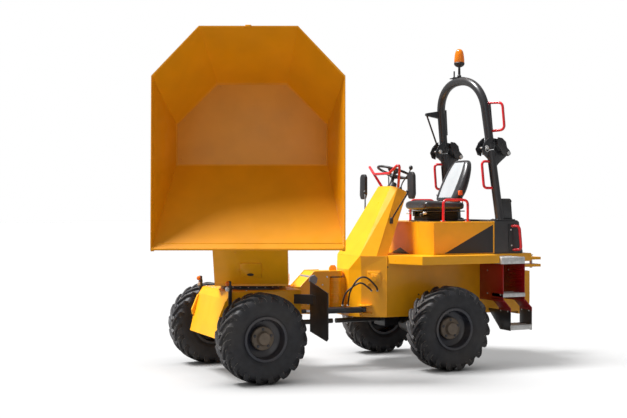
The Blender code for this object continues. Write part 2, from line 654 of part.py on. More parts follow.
def beacon(hoop):
    x, y = HOOP_TOP.x - 0.02, -0.03
    top = HOOP_TOP.z + ROPS_TUBE + 0.002
    plate = box((x - 0.04, y - 0.13, top), (x + 0.045, y + 0.05, top + 0.008))
    profile = [  # radius, height
        (0, top + 0.004), (0.02, top + 0.004), (0.02, top + 0.03), (0.012, top + 0.04), (0.012, 3.17),
        (0.045, 3.20), (0.058, 3.207), (0.058, 3.25), (0.05, 3.32), (0.035, 3.352), (0, 3.367),
    ]
    hoop.add("beacon", "amber", combined([plate, turned((x, y, 0), (0, 0, 1), profile, 16)]))


def steering_wheel(steering):
    centre = WHEEL_HUB + STEERING_AXIS * 0.06
    ring = 0.185
    across = Vector((0, 1, 0))
    other = STEERING_AXIS.cross(across)
    rim_rings = []
    sides = 24
    for i in range(sides):
        a = 2 * math.pi * i / sides
        out = math.cos(a) * across + math.sin(a) * other
        rim_rings.append([centre + ring * out + 0.013 * (math.cos(b) * out + math.sin(b) * STEERING_AXIS)
                          for b in [2 * math.pi * j / 6 for j in range(6)]])
    shapes = [from_rings(rim_rings, closed_ends=False)]
    shapes.append(rod(WHEEL_HUB - STEERING_AXIS * 0.095, WHEEL_HUB, 0.018, 12))
    shapes.append(rod(WHEEL_HUB - STEERING_AXIS * 0.005, WHEEL_HUB + STEERING_AXIS * 0.03, 0.035, 14))
    for turn in (90, 210, 330):
        a = math.radians(turn)
        out = math.cos(a) * across + math.sin(a) * other
        shapes.append(rod(WHEEL_HUB + STEERING_AXIS * 0.012, centre + (ring - 0.004) * out, 0.009, 8))
    steering.add("steering_wheel", "dark_grey", combined(shapes))


# ---- the machine ---------------------------------------------------------------------------------


def main():
    clear_scene()
    rear = Frame("rear_half", (0, 0, 0))
    front = Frame("steer_axis", (STEER_X, 0, 0), parent=rear)
    swivel = Frame("swivel_axis", (SWIVEL_X, 0, 0), (0, 0, SWIVEL_REST), front, drawn_from_ground=False)
    tip = Frame("tip_axis", TIP_PIVOT, (0, TIP_REST, 0), swivel, drawn_from_ground=False)
    level_eye = TIP_RAM_EYE
    tipped_eye = TIP_PIVOT + Matrix.Rotation(TIP_REST, 3, "Y") @ level_eye
    tip_barrel = Frame("tip_ram_axis", TIP_RAM_BASE, parent=swivel)
    steer_barrel = Frame("steer_ram_axis", STEER_RAM_BASE, parent=rear)
    hoop = Frame("rops_axis", ROPS_PIN, parent=rear)
    steering = Frame("steering_axis", WHEEL_HUB, parent=rear)

    rear_chassis(rear)
    counterweight(rear)
    deck(rear)
    console(rear)
    guard_rail(rear)
    mirrors(rear)
    seat_box(rear)
    rear_cover(rear)
    engine(rear)
    seat(rear)
    rops_legs(rear)
    steps(rear)
    hoses(rear)
    axle(rear, -1, "rear")

    front_chassis(front)
    slew_ring(front)
    mudflaps(front)
    front_lamps(front)
    shafts(rear, front)
    axle(front, 1, "front")

    swivel_frame(swivel)
    skip_body(tip)
    tip_sizes = (0.037, 0.020, 0.04, 0.60, 0.08, 0.439, 0.05)
    ram(tip_barrel, tip_barrel, "tip", TIP_RAM_BASE, tipped_eye, tip_sizes, (0, 1, 0))
    steer_sizes = (0.032, 0.016, 0.03, 0.43, 0.045, 0.22, 0.022)
    ram(steer_barrel, steer_barrel, "steering", STEER_RAM_BASE, STEER_RAM_EYE, steer_sizes, (0, 0, 1))

    rops_hoop(hoop)
    beacon(hoop)
    steering_wheel(steering)
    for end, end_name in ENDS:
        for side, side_name in SIDES:
            wheel(front if end > 0 else rear, end, end_name, side, side_name)
    rear.empty.location = (VEHICLE_X, VEHICLE_Y, 0)


if __name__ == "__main__":
    main()
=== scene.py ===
"""Looks of an articulated site dumper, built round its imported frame.

Places are in metres in the vehicle's own frame unless a class says otherwise: X forward, Y to the
driver's left, Z up, with the origin on the ground midway between the axles. VEHICLE moves that frame
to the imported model's. The skip and its support have frames of their own, SWIVEL and SKIP.
"""

from __future__ import annotations

import json
import logging
import math
from collections.abc import Iterable, Sequence
from dataclasses import dataclass, field
from enum import Enum

import bmesh
import bpy
from mathutils import Matrix, Vector

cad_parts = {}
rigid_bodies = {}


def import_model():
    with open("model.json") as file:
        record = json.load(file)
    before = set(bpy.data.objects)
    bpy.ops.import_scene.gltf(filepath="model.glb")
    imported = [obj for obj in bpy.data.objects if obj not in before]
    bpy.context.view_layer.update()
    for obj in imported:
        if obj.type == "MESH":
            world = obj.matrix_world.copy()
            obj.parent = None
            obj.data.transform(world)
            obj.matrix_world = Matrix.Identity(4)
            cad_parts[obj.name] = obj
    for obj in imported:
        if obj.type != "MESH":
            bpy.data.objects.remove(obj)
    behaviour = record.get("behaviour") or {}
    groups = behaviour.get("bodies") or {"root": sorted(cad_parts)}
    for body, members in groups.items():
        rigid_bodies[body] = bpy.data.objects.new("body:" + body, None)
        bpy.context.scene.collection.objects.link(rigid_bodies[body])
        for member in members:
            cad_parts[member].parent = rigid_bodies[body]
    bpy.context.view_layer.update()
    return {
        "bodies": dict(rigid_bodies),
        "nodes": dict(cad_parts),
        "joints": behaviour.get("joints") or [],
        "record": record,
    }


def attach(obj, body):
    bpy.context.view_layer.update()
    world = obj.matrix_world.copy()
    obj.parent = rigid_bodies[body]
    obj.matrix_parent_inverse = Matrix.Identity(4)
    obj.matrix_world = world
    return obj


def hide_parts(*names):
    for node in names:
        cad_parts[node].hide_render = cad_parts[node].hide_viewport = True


Colour = tuple[float, float, float]
Point = Sequence[float]

log = logging.getLogger("site_dumper")

VEHICLE = Matrix.Translation((0.3018, -0.1721, 0.0))
TIP_PIVOT = Vector((0.76, 0.0, 1.437))
SWIVEL = VEHICLE @ Matrix.Translation((0.80, 0.0, 0.0)) @ Matrix.Rotation(math.radians(66), 4, "Z")
TIP = SWIVEL @ Matrix.Translation(TIP_PIVOT) @ Matrix.Rotation(math.radians(88), 4, "Y")
SKIP = TIP @ Matrix.Translation((-1.863, 0.0, -0.44))  # from the skip's rear rim and its floor
SIDES = ((1, "left"), (-1, "right"))
DECK_TOP = 1.150
COVER_TOP = 1.50
SEAT_BOX_TOP = 1.485


class Body(Enum):
    """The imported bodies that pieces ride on."""

    REAR = "rear_half"
    FRONT = "front_half"
    SWIVEL = "swivel"
    SKIP = "skip"
    TIP_BARREL = "tip_barrel"
    TIP_ROD = "tip_rod"
    STEER_BARREL = "steer_barrel"
    STEER_ROD = "steer_rod"
    HOOP = "hoop"
    HELM = "helm"


# ---- finishes ------------------------------------------------------------------------------------


class Nodes:
    """A material's node tree, with short ways to add and link nodes."""

    def __init__(self, name: str) -> None:
        """Starts a material with a Principled shader.

        Args:
            name: the material's name.
        """
        self.material = bpy.data.materials.new(name)
        self.material.use_nodes = True
        self.tree = self.material.node_tree
        self.shader = self.tree.nodes["Principled BSDF"]

    def add(self, kind: str, inputs: dict | None = None, **settings: object) -> bpy.types.Node:
        """Adds a node.

        Args:
            kind: the node's type name.
            inputs: values or sockets, by the input's name or number.
            settings: the node's own properties.

        Returns:
            The new node.
        """
        node = self.tree.nodes.new(kind)
        for key, value in settings.items():
            setattr(node, key, value)
        for key, value in (inputs or {}).items():
            self.feed(node.inputs[key], value)
        return node

    def feed(self, socket: bpy.types.NodeSocket, value: object) -> None:
        """Links a socket to an output, or sets its value."""
        if isinstance(value, bpy.types.NodeSocket):
            self.tree.links.new(value, socket)
        elif isinstance(value, tuple) and len(value) == 3 and socket.type == "RGBA":
            socket.default_value = (*value, 1.0)
        else:
            socket.default_value = value

    def maths(self, operation: str, a: object, b: object = 0.0, c: object = 0.0) -> bpy.types.NodeSocket:
        """One Math node's result."""
        return self.add("ShaderNodeMath", {0: a, 1: b, 2: c}, operation=operation).outputs[0]

    def blend(self, factor: object, first: object, second: object) -> bpy.types.NodeSocket:
        """A mix of two colours."""
        return self.add("ShaderNodeMix", {0: factor, 6: first, 7: second}, data_type="RGBA").outputs[2]

    def noise(self, vector: object, scale: float, detail: float = 4.0) -> bpy.types.NodeSocket:
        """A noise pattern's value."""
        return self.add(
            "ShaderNodeTexNoise", {"Vector": vector, "Scale": scale, "Detail": detail}
        ).outputs[0]

    def spread(self, value: object, low: float, high: float, to_low: float = 0.0, to_high: float = 1.0):
        """A value mapped from one range to another, kept inside it."""
        ends = {0: value, 1: low, 2: high, 3: to_low, 4: to_high}
        return self.add("ShaderNodeMapRange", ends).outputs[0]

    def place(self) -> bpy.types.NodeSocket:
        """Object coordinates in the vehicle's frame."""
        source = self.add("ShaderNodeTexCoord").outputs["Object"]
        back = VEHICLE.inverted().translation
        return self.add("ShaderNodeMapping", {"Vector": source, "Location": tuple(back)}).outputs[0]


@dataclass(frozen=True)
class Finish:
    """A surface with mottling, dust, pale edges from wear and, on the tyres, partly a painted highlight,
    uneven gloss and a fine relief.
    """

    name: str
    colour: Colour
    roughness: float = 0.4
    metallic: float = 0.0
    mottle: float = 0.06  # how far the colour wanders
    mottle_scale: float = 5.0
    dust: float = 0.10  # more of it low on the machine and in patches
    dust_colour: Colour = (0.36, 0.27, 0.17)
    # Pale edges: rubbed wear, and on the tyre lugs partly a painted highlight.
    edge_wear_and_highlight: float = 0.0  # on edges
    edge_wear_and_highlight_colour: Colour = (0.35, 0.33, 0.30)
    round_edge: float = 0.003
    relief: float = 0.05
    relief_scale: float = 180.0
    coat: float = 0.0
    sheen: float = 0.0
    gloss: float = 0.5  # the shader's specular level

    def make(self) -> bpy.types.Material:
        """Builds the material.

        Returns:
            The finished material.
        """
        n = Nodes(self.name)
        place = n.place()
        colour = self.tint(n, place)
        patches = n.noise(place, 2.3, 6.0)
        height = n.add("ShaderNodeSeparateXYZ", {0: place}).outputs[2]
        low_down = n.spread(height, 0.25, 1.25, 1.0, 0.25)
        dusty = n.maths("MULTIPLY", n.spread(patches, 0.42, 0.68), low_down)
        dusty = n.maths("MULTIPLY", dusty, self.dust)
        colour = n.blend(dusty, colour, self.dust_colour)
        bevel = n.add("ShaderNodeBevel", {"Radius": self.round_edge}, samples=4).outputs[0]
        # Edges mixed toward the pale colour: wear, and on the tyres partly a painted highlight of the sun on
        # the lugs.
        if self.edge_wear_and_highlight > 0:
            facing = n.add("ShaderNodeNewGeometry").outputs["Normal"]
            same = n.add("ShaderNodeVectorMath", {0: bevel, 1: facing}, operation="DOT_PRODUCT").outputs[1]
            edge = n.spread(same, 0.96, 0.82)
            broken = n.spread(n.noise(place, 22.0, 8.0), 0.42, 0.62)
            edge = n.maths("MULTIPLY", n.maths("MULTIPLY", edge, broken), self.edge_wear_and_highlight)
            colour = n.blend(edge, colour, self.edge_wear_and_highlight_colour)
        n.feed(n.shader.inputs["Base Color"], colour)
        rough = n.spread(n.noise(place, 9.0, 5.0), 0.3, 0.7, self.roughness * 0.82, self.roughness * 1.2)
        n.feed(n.shader.inputs["Roughness"], n.maths("ADD", rough, n.maths("MULTIPLY", dusty, 0.4)))
        fine = n.noise(place, self.relief_scale, 3.0)
        bump = n.add(
            "ShaderNodeBump", {"Height": fine, "Strength": self.relief, "Distance": 0.001, "Normal": bevel}
        )
        n.feed(n.shader.inputs["Normal"], bump.outputs[0])
        n.shader.inputs["Metallic"].default_value = self.metallic
        n.shader.inputs["Coat Weight"].default_value = self.coat
        n.shader.inputs["Coat Roughness"].default_value = 0.12
        n.shader.inputs["Sheen Weight"].default_value = self.sheen
        n.shader.inputs["Specular IOR Level"].default_value = self.gloss
        return n.material

    def tint(self, n: Nodes, place: bpy.types.NodeSocket) -> bpy.types.NodeSocket:
        """The colour before dust and wear.

        Args:
            n: the material's nodes.
            place: coordinates in the vehicle's frame.

        Returns:
            A colour socket.
        """
        darker = tuple(c * (1 - self.mottle) for c in self.colour)
        lighter = tuple(min(1.0, c * (1 + self.mottle)) for c in self.colour)
        return n.blend(n.spread(n.noise(place, self.mottle_scale, 3.0), 0.3, 0.7), darker, lighter)


@dataclass(frozen=True)
class StripedPaint(Finish):
    """Paint with a dark wedge on the rear half of each side, and a small one low at the front."""

    stripe: Colour = (0.022, 0.020, 0.022)
    wedge_start: float = -1.055  # X where the side wedge starts to climb
    wedge_end: float = -1.668
    front_reach: float = 0.19  # Y where the front wedge meets the deck
    front_slope: float = 0.32
    border: float = 0.012  # yellow left below the side wedge

    def tint(self, n: Nodes, place: bpy.types.NodeSocket) -> bpy.types.NodeSocket:
        """The colour before dust and wear; the arguments and result are as in Finish."""
        paint = super().tint(n, place)
        x, y, z = n.add("ShaderNodeSeparateXYZ", {0: place}).outputs
        across = n.maths("ABSOLUTE", y)
        rise = SEAT_BOX_TOP - 0.028 - DECK_TOP
        # The side wedge climbs from the deck to the box's top rear corner, inside a thin yellow border.
        climb = n.maths(
            "MULTIPLY", n.maths("SUBTRACT", self.wedge_start, x), rise / (self.wedge_start - self.wedge_end)
        )
        side = n.maths("LESS_THAN", n.maths("SUBTRACT", z, DECK_TOP), climb)
        side = n.maths("MULTIPLY", side, n.maths("GREATER_THAN", x, self.wedge_end))
        side = n.maths("MULTIPLY", side, n.maths("GREATER_THAN", across, 0.5585))
        side = n.maths("MULTIPLY", side, n.maths("GREATER_THAN", z, DECK_TOP + self.border))
        # The front wedge falls outward from the console's foot.
        fall = n.maths(
            "MULTIPLY_ADD", across, -self.front_slope, DECK_TOP + self.front_reach * self.front_slope
        )
        front = n.maths("LESS_THAN", z, fall)
        front = n.maths("MULTIPLY", front, n.maths("GREATER_THAN", x, -0.8705))
        return n.blend(n.maths("MAXIMUM", side, front), paint, self.stripe)


@dataclass(frozen=True)
class Lens(Finish):
    """Clear coloured plastic with a ribbed inside."""

    transmission: float = 0.55
    glow: float = 0.0

    def make(self) -> bpy.types.Material:
        """Builds the material; the result is as in Finish."""
        material = super().make()
        shader = material.node_tree.nodes["Principled BSDF"]
        shader.inputs["Transmission Weight"].default_value = self.transmission
        shader.inputs["IOR"].default_value = 1.49
        if self.glow:
            shader.inputs["Emission Color"].default_value = (*self.colour, 1.0)
            shader.inputs["Emission Strength"].default_value = self.glow
        return material


PAINT = (0.87, 0.39, 0.006)
PALE_EDGE = (0.95, 0.62, 0.18)
PAINT_DUST = (0.50, 0.26, 0.06)
FINISHES = (
    Finish(
        "yellow_paint", PAINT, 0.33, dust=0.06, dust_colour=PAINT_DUST, edge_wear_and_highlight=0.30, edge_wear_and_highlight_colour=PALE_EDGE,
        coat=0.20, relief=0.04, gloss=0.35
    ),
    StripedPaint(
        "striped_paint", PAINT, 0.33, dust=0.05, dust_colour=PAINT_DUST, edge_wear_and_highlight=0.2, edge_wear_and_highlight_colour=PALE_EDGE,
        coat=0.20, relief=0.04, gloss=0.35
    ),
    Finish(
        "skip_paint", (0.80, 0.305, 0.002), 0.42, dust=0.10, dust_colour=(0.50, 0.22, 0.05), mottle=0.08,
        mottle_scale=2.2, edge_wear_and_highlight=0.4, edge_wear_and_highlight_colour=(0.80, 0.36, 0.06), coat=0.05, relief=0.06, gloss=0.25
    ),
    Finish(
        "skip_panel_paint", (0.72, 0.295, 0.030), 0.38, dust=0.25, dust_colour=(0.60, 0.27, 0.06),
        mottle=0.07, mottle_scale=3.0, coat=0.05, gloss=0.35
    ),
    Finish(
        "dark_paint", (0.040, 0.038, 0.040), 0.40, dust=0.18, edge_wear_and_highlight=0.35, edge_wear_and_highlight_colour=(0.22, 0.21, 0.20),
        coat=0.15
    ),
    Finish(
        "black_steel", (0.020, 0.021, 0.025), 0.34, dust=0.18, edge_wear_and_highlight=0.5, edge_wear_and_highlight_colour=(0.20, 0.19, 0.18),
        coat=0.2
    ),
    Finish(
        "red_paint", (0.66, 0.008, 0.016), 0.28, dust=0.04, edge_wear_and_highlight=0.25, edge_wear_and_highlight_colour=(0.75, 0.20, 0.16),
        coat=0.45
    ),
    Finish(
        "dark_red_paint", (0.30, 0.002, 0.006), 0.36, dust=0.06, edge_wear_and_highlight=0.3, edge_wear_and_highlight_colour=(0.45, 0.12, 0.10),
        coat=0.25
    ),
    # Tyre: the pale lug edges are partly dust and wear and partly a painted highlight of the sun on the
    # lugs.
    Finish(
        "tyre_rubber", (0.022, 0.022, 0.026), 0.58, mottle=0.25, mottle_scale=14.0, dust=0.30,
        dust_colour=(0.13, 0.11, 0.09), edge_wear_and_highlight=0.9, edge_wear_and_highlight_colour=(0.46, 0.42, 0.35), round_edge=0.006,
        relief=0.25, relief_scale=90.0
    ),
    Finish(
        "rim_paint", (0.028, 0.030, 0.042), 0.30, dust=0.22, edge_wear_and_highlight=0.4, edge_wear_and_highlight_colour=(0.22, 0.22, 0.26),
        coat=0.3
    ),
    Finish(
        "hub_primer", (0.150, 0.115, 0.085), 0.50, mottle=0.20, mottle_scale=18.0, dust=0.3, edge_wear_and_highlight=0.5,
        edge_wear_and_highlight_colour=(0.30, 0.26, 0.20), relief=0.2, relief_scale=70.0
    ),
    Finish("chrome", (0.80, 0.80, 0.82), 0.12, metallic=1.0, dust=0.0, relief=0.01),
    Finish(
        "zinc", (0.66, 0.66, 0.65), 0.42, metallic=0.55, mottle=0.14, mottle_scale=30.0, dust=0.15,
        edge_wear_and_highlight=0.4, edge_wear_and_highlight_colour=(0.85, 0.85, 0.83), relief=0.15
    ),
    Finish("grey_cap", (0.20, 0.21, 0.24), 0.45, dust=0.2, relief=0.08),
    Finish(
        "black_plastic", (0.018, 0.018, 0.020), 0.46, dust=0.12, relief=0.30, relief_scale=320.0,
        round_edge=0.004
    ),
    Finish("bellows_rubber", (0.016, 0.016, 0.017), 0.55, dust=0.20, relief=0.2),
    Finish(
        "vinyl", (0.018, 0.018, 0.020), 0.30, dust=0.06, relief=0.35, relief_scale=260.0, coat=0.25,
        sheen=0.1
    ),
    Finish(
        "vinyl_panel", (0.42, 0.44, 0.45), 0.36, mottle=0.05, dust=0.05, relief=0.45, relief_scale=220.0,
        coat=0.1
    ),
    Finish("orange_plastic", (0.85, 0.12, 0.015), 0.35, dust=0.02),
    Finish("hose_rubber", (0.016, 0.016, 0.017), 0.40, dust=0.15, relief=0.3, relief_scale=200.0),
    Finish("mirror_glass", (0.75, 0.77, 0.80), 0.04, metallic=1.0, mottle=0.02, dust=0.02, relief=0.0),
    Lens(
        "amber_lens", (0.95, 0.26, 0.008), 0.14, mottle=0.03, dust=0.03, relief=0.02, transmission=0.35,
        glow=0.06
    ),
    Lens("orange_lens", (0.90, 0.20, 0.015), 0.18, mottle=0.03, dust=0.03, relief=0.02, transmission=0.25),
    Lens("white_lens", (0.85, 0.87, 0.88), 0.12, mottle=0.03, dust=0.03, relief=0.02, transmission=0.35),
)


# ---- shapes --------------------------------------------------------------------------------------


def rounded(points: Iterable[Point], radius: float, steps: int = 8) -> list[Vector]:
    """A path whose inner corners are turned into arcs.

    Args:
        points: the path's corners.
        radius: the arcs' radius.
        steps: stretches in each arc.

    Returns:
        The path's points.
    """
    corners = [Vector(p) for p in points]
    path = [corners[0]]
    for before, corner, after in zip(corners, corners[1:], corners[2:]):
        into, out = (before - corner), (after - corner)
        half = into.angle(out) / 2
        reach = min(radius / math.tan(half), 0.45 * into.length, 0.45 * out.length)
        start, end = corner + reach * into.normalized(), corner + reach * out.normalized()
        for i in range(steps + 1):
            t = i / steps
            path.append((1 - t) ** 2 * start + 2 * t * (1 - t) * corner + t * t * end)
    return path + [corners[-1]]


def curve_through(points: Sequence[Point], steps: int) -> list[Vector]:
    """A smooth path that passes through every point.

    Args:
        points: the points to pass.
        steps: stretches in the whole path.

    Returns:
        The path's points.
    """
    stops = [Vector(p) for p in points]
    path = []
    for i in range(steps + 1):
        along = i / steps * (len(stops) - 1)
        k = min(int(along), len(stops) - 2)
        f = along - k
        before, start, end = stops[max(k - 1, 0)], stops[k], stops[k + 1]
        after = stops[min(k + 2, len(stops) - 1)]
        path.append(
            0.5 * (
                2 * start + (end - before) * f + (
                    2 * before - 5 * start + 4 * end - after
                ) * f * f + (3 * start - before - 3 * end + after) * f ** 3
            )
        )
    return path


class Shape:
    """Closed shells that together make one piece."""

    def __init__(self) -> None:
        """Starts with nothing."""
        self.bm = bmesh.new()

    def rings(
        self, rings: Sequence[Sequence[Point]], caps: bool = True, finish: int = 0, joined: bool = False
    ) -> "Shape":
        """Adds a shell through rings of equally many points.

        Args:
            rings: the rings, in order.
            caps: whether both ends are filled.
            finish: the number of the finish on these faces.
            joined: whether the last ring joins the first.

        Returns:
            This shape.
        """
        loops = [[self.bm.verts.new(p) for p in ring] for ring in rings]
        faces = []
        for one, other in zip(loops, loops[1:] + (loops[:1] if joined else [])):
            for i in range(len(one)):
                j = (i + 1) % len(one)
                faces.append(self.bm.faces.new((one[i], one[j], other[j], other[i])))
        if caps and not joined:
            faces.append(self.bm.faces.new(loops[0]))
            faces.append(self.bm.faces.new(loops[-1]))
        for face in faces:
            face.material_index = finish
        bmesh.ops.recalc_face_normals(self.bm, faces=faces)
        return self

    def prism(
        self, axis: str, outline: Sequence[Point], low: float, high: float, bevel: float = 0.0,
        finish: int = 0
    ) -> "Shape":
        """Adds an outline in the plane across an axis, drawn out from low to high.

        Args:
            axis: X, Y or Z.
            outline: its corners, as (Y, Z), (X, Z) or (X, Y).
            low: start along the axis.
            high: end along the axis.
            bevel: width of the rounding on every edge.
            finish: the number of the finish on these faces.

        Returns:
            This shape.
        """
        order = {"X": (2, 0, 1), "Y": (0, 2, 1), "Z": (0, 1, 2)}[axis]
        rings = [[tuple((a, b, c)[i] for i in order) for a, b in outline] for c in (low, high)]
        before = set(self.bm.edges)
        self.rings(rings, finish=finish)
        self.round_off([e for e in self.bm.edges if e not in before], bevel)
        return self

    def round_off(self, edges: list[bmesh.types.BMEdge], width: float) -> None:
        """Rounds the sharper ones of some edges."""
        sharp = [e for e in edges if e.is_manifold and e.calc_face_angle(0.0) > math.radians(25)]
        if width > 0 and sharp:
            bmesh.ops.bevel(
                self.bm, geom=sharp, offset=width, segments=2, affect="EDGES", profile=0.5,
                clamp_overlap=True
            )

    def block(self, low: Point, high: Point, bevel: float = 0.0, finish: int = 0) -> "Shape":
        """Adds a box between two corners."""
        (x0, y0, z0), (x1, y1, z1) = low, high
        outline = [(x0, y0), (x1, y0), (x1, y1), (x0, y1)]
        return self.prism("Z", outline, z0, z1, bevel, finish)

    def lathe(
        self, centre: Point, axis: Point, profile: Sequence[Point], segments: int = 48, finish: int = 0
    ) -> "Shape":
        """Adds a turned shell.

        Args:
            centre: where distances along the axis start.
            axis: its direction.
            profile: (radius, distance along) points; the shell is closed by its ends or as a loop.
            segments: how many steps round.
            finish: the number of the finish on these faces.

        Returns:
            This shape.
        """
        along = Vector(axis).normalized()
        across = along.orthogonal().normalized()
        other = along.cross(across)
        rings = []
        for radius, reach in profile:
            mid = Vector(centre) + reach * along
            turns = [2 * math.pi * i / segments for i in range(segments)]
            rings.append(
                [mid + max(radius, 1e-4) * (math.cos(a) * across + math.sin(a) * other) for a in turns]
            )
        solid = profile[0][0] <= 1e-4
        return self.rings(rings, caps=solid, finish=finish, joined=not solid)

    def rod(
        self, start: Point, end: Point, radius: float, segments: int = 20, bevel: float = 0.0,
        finish: int = 0
    ) -> "Shape":
        """Adds a round bar between two points, its ends eased by bevel."""
        along = Vector(end) - Vector(start)
        length = along.length
        profile = [
            (0, 0), (radius - bevel, 0), (radius, bevel), (radius, length - bevel),
            (radius - bevel, length), (0, length)
        ]
        return self.lathe(start, along, profile, segments, finish)

    def tube(
        self, path: Sequence[Point], radius: float, sides: int = 16, finish: int = 0, squash: float = 1.0
    ) -> "Shape":
        """Adds a bar along a path, its section carried along without twist.

        Args:
            path: the points on its centreline.
            radius: half its width.
            sides: sides of its section.
            finish: the number of the finish on these faces.
            squash: its second width over its first.

        Returns:
            This shape.
        """
        stops = [Vector(p) for p in path]
        last = len(stops) - 1
        tangents = [(stops[min(i + 1, last)] - stops[max(i - 1, 0)]).normalized() for i in range(last + 1)]
        across = tangents[0].orthogonal().normalized()
        rings = []
        for stop, tangent in zip(stops, tangents):
            across = (across - across.dot(tangent) * tangent).normalized()
            other = tangent.cross(across) * squash
            turns = [2 * math.pi * i / sides for i in range(sides)]
            rings.append([stop + radius * (math.cos(a) * across + math.sin(a) * other) for a in turns])
        return self.rings(rings, finish=finish)

    def ball(self, centre: Point, radius: float, stretch: float = 1.0, finish: int = 0) -> "Shape":
        """Adds a ball, stretched in height."""
        steps = 10
        profile = [
            (radius * math.sin(math.pi * i / steps), -radius * stretch * math.cos(math.pi * i / steps))
            for i in range(steps + 1)
        ]
        profile[0], profile[-1] = (0, profile[0][1]), (0, profile[-1][1])
        return self.lathe(centre, (0, 0, 1), profile, 20, finish)

    def take(self, other: "Shape") -> "Shape":
        """Takes in another shape, which is used up."""
        mesh = bpy.data.meshes.new("taken")
        bmesh.ops.recalc_face_normals(other.bm, faces=other.bm.faces)
        other.bm.to_mesh(mesh)
        other.bm.free()
        self.bm.from_mesh(mesh)
        bpy.data.meshes.remove(mesh)
        return self

    def moved(self, matrix: Matrix) -> "Shape":
        """Moves the whole shape."""
        bmesh.ops.transform(self.bm, matrix=matrix, verts=self.bm.verts)
        return self

    def mesh(self, name: str, sharp: float = 35.0) -> bpy.types.Mesh:
        """Turns the shape into a mesh with soft shading.

        Args:
            name: the mesh's name.
            sharp: edges over this angle, in degrees, stay sharp.

        Returns:
            The mesh. The shape can't be used after it.
        """
        mesh = bpy.data.meshes.new(name)
        self.bm.to_mesh(mesh)
        self.bm.free()
        mesh.shade_smooth()
        mesh.set_sharp_from_angle(angle=math.radians(sharp))
        return mesh


# ---- repeats -------------------------------------------------------------------------------------


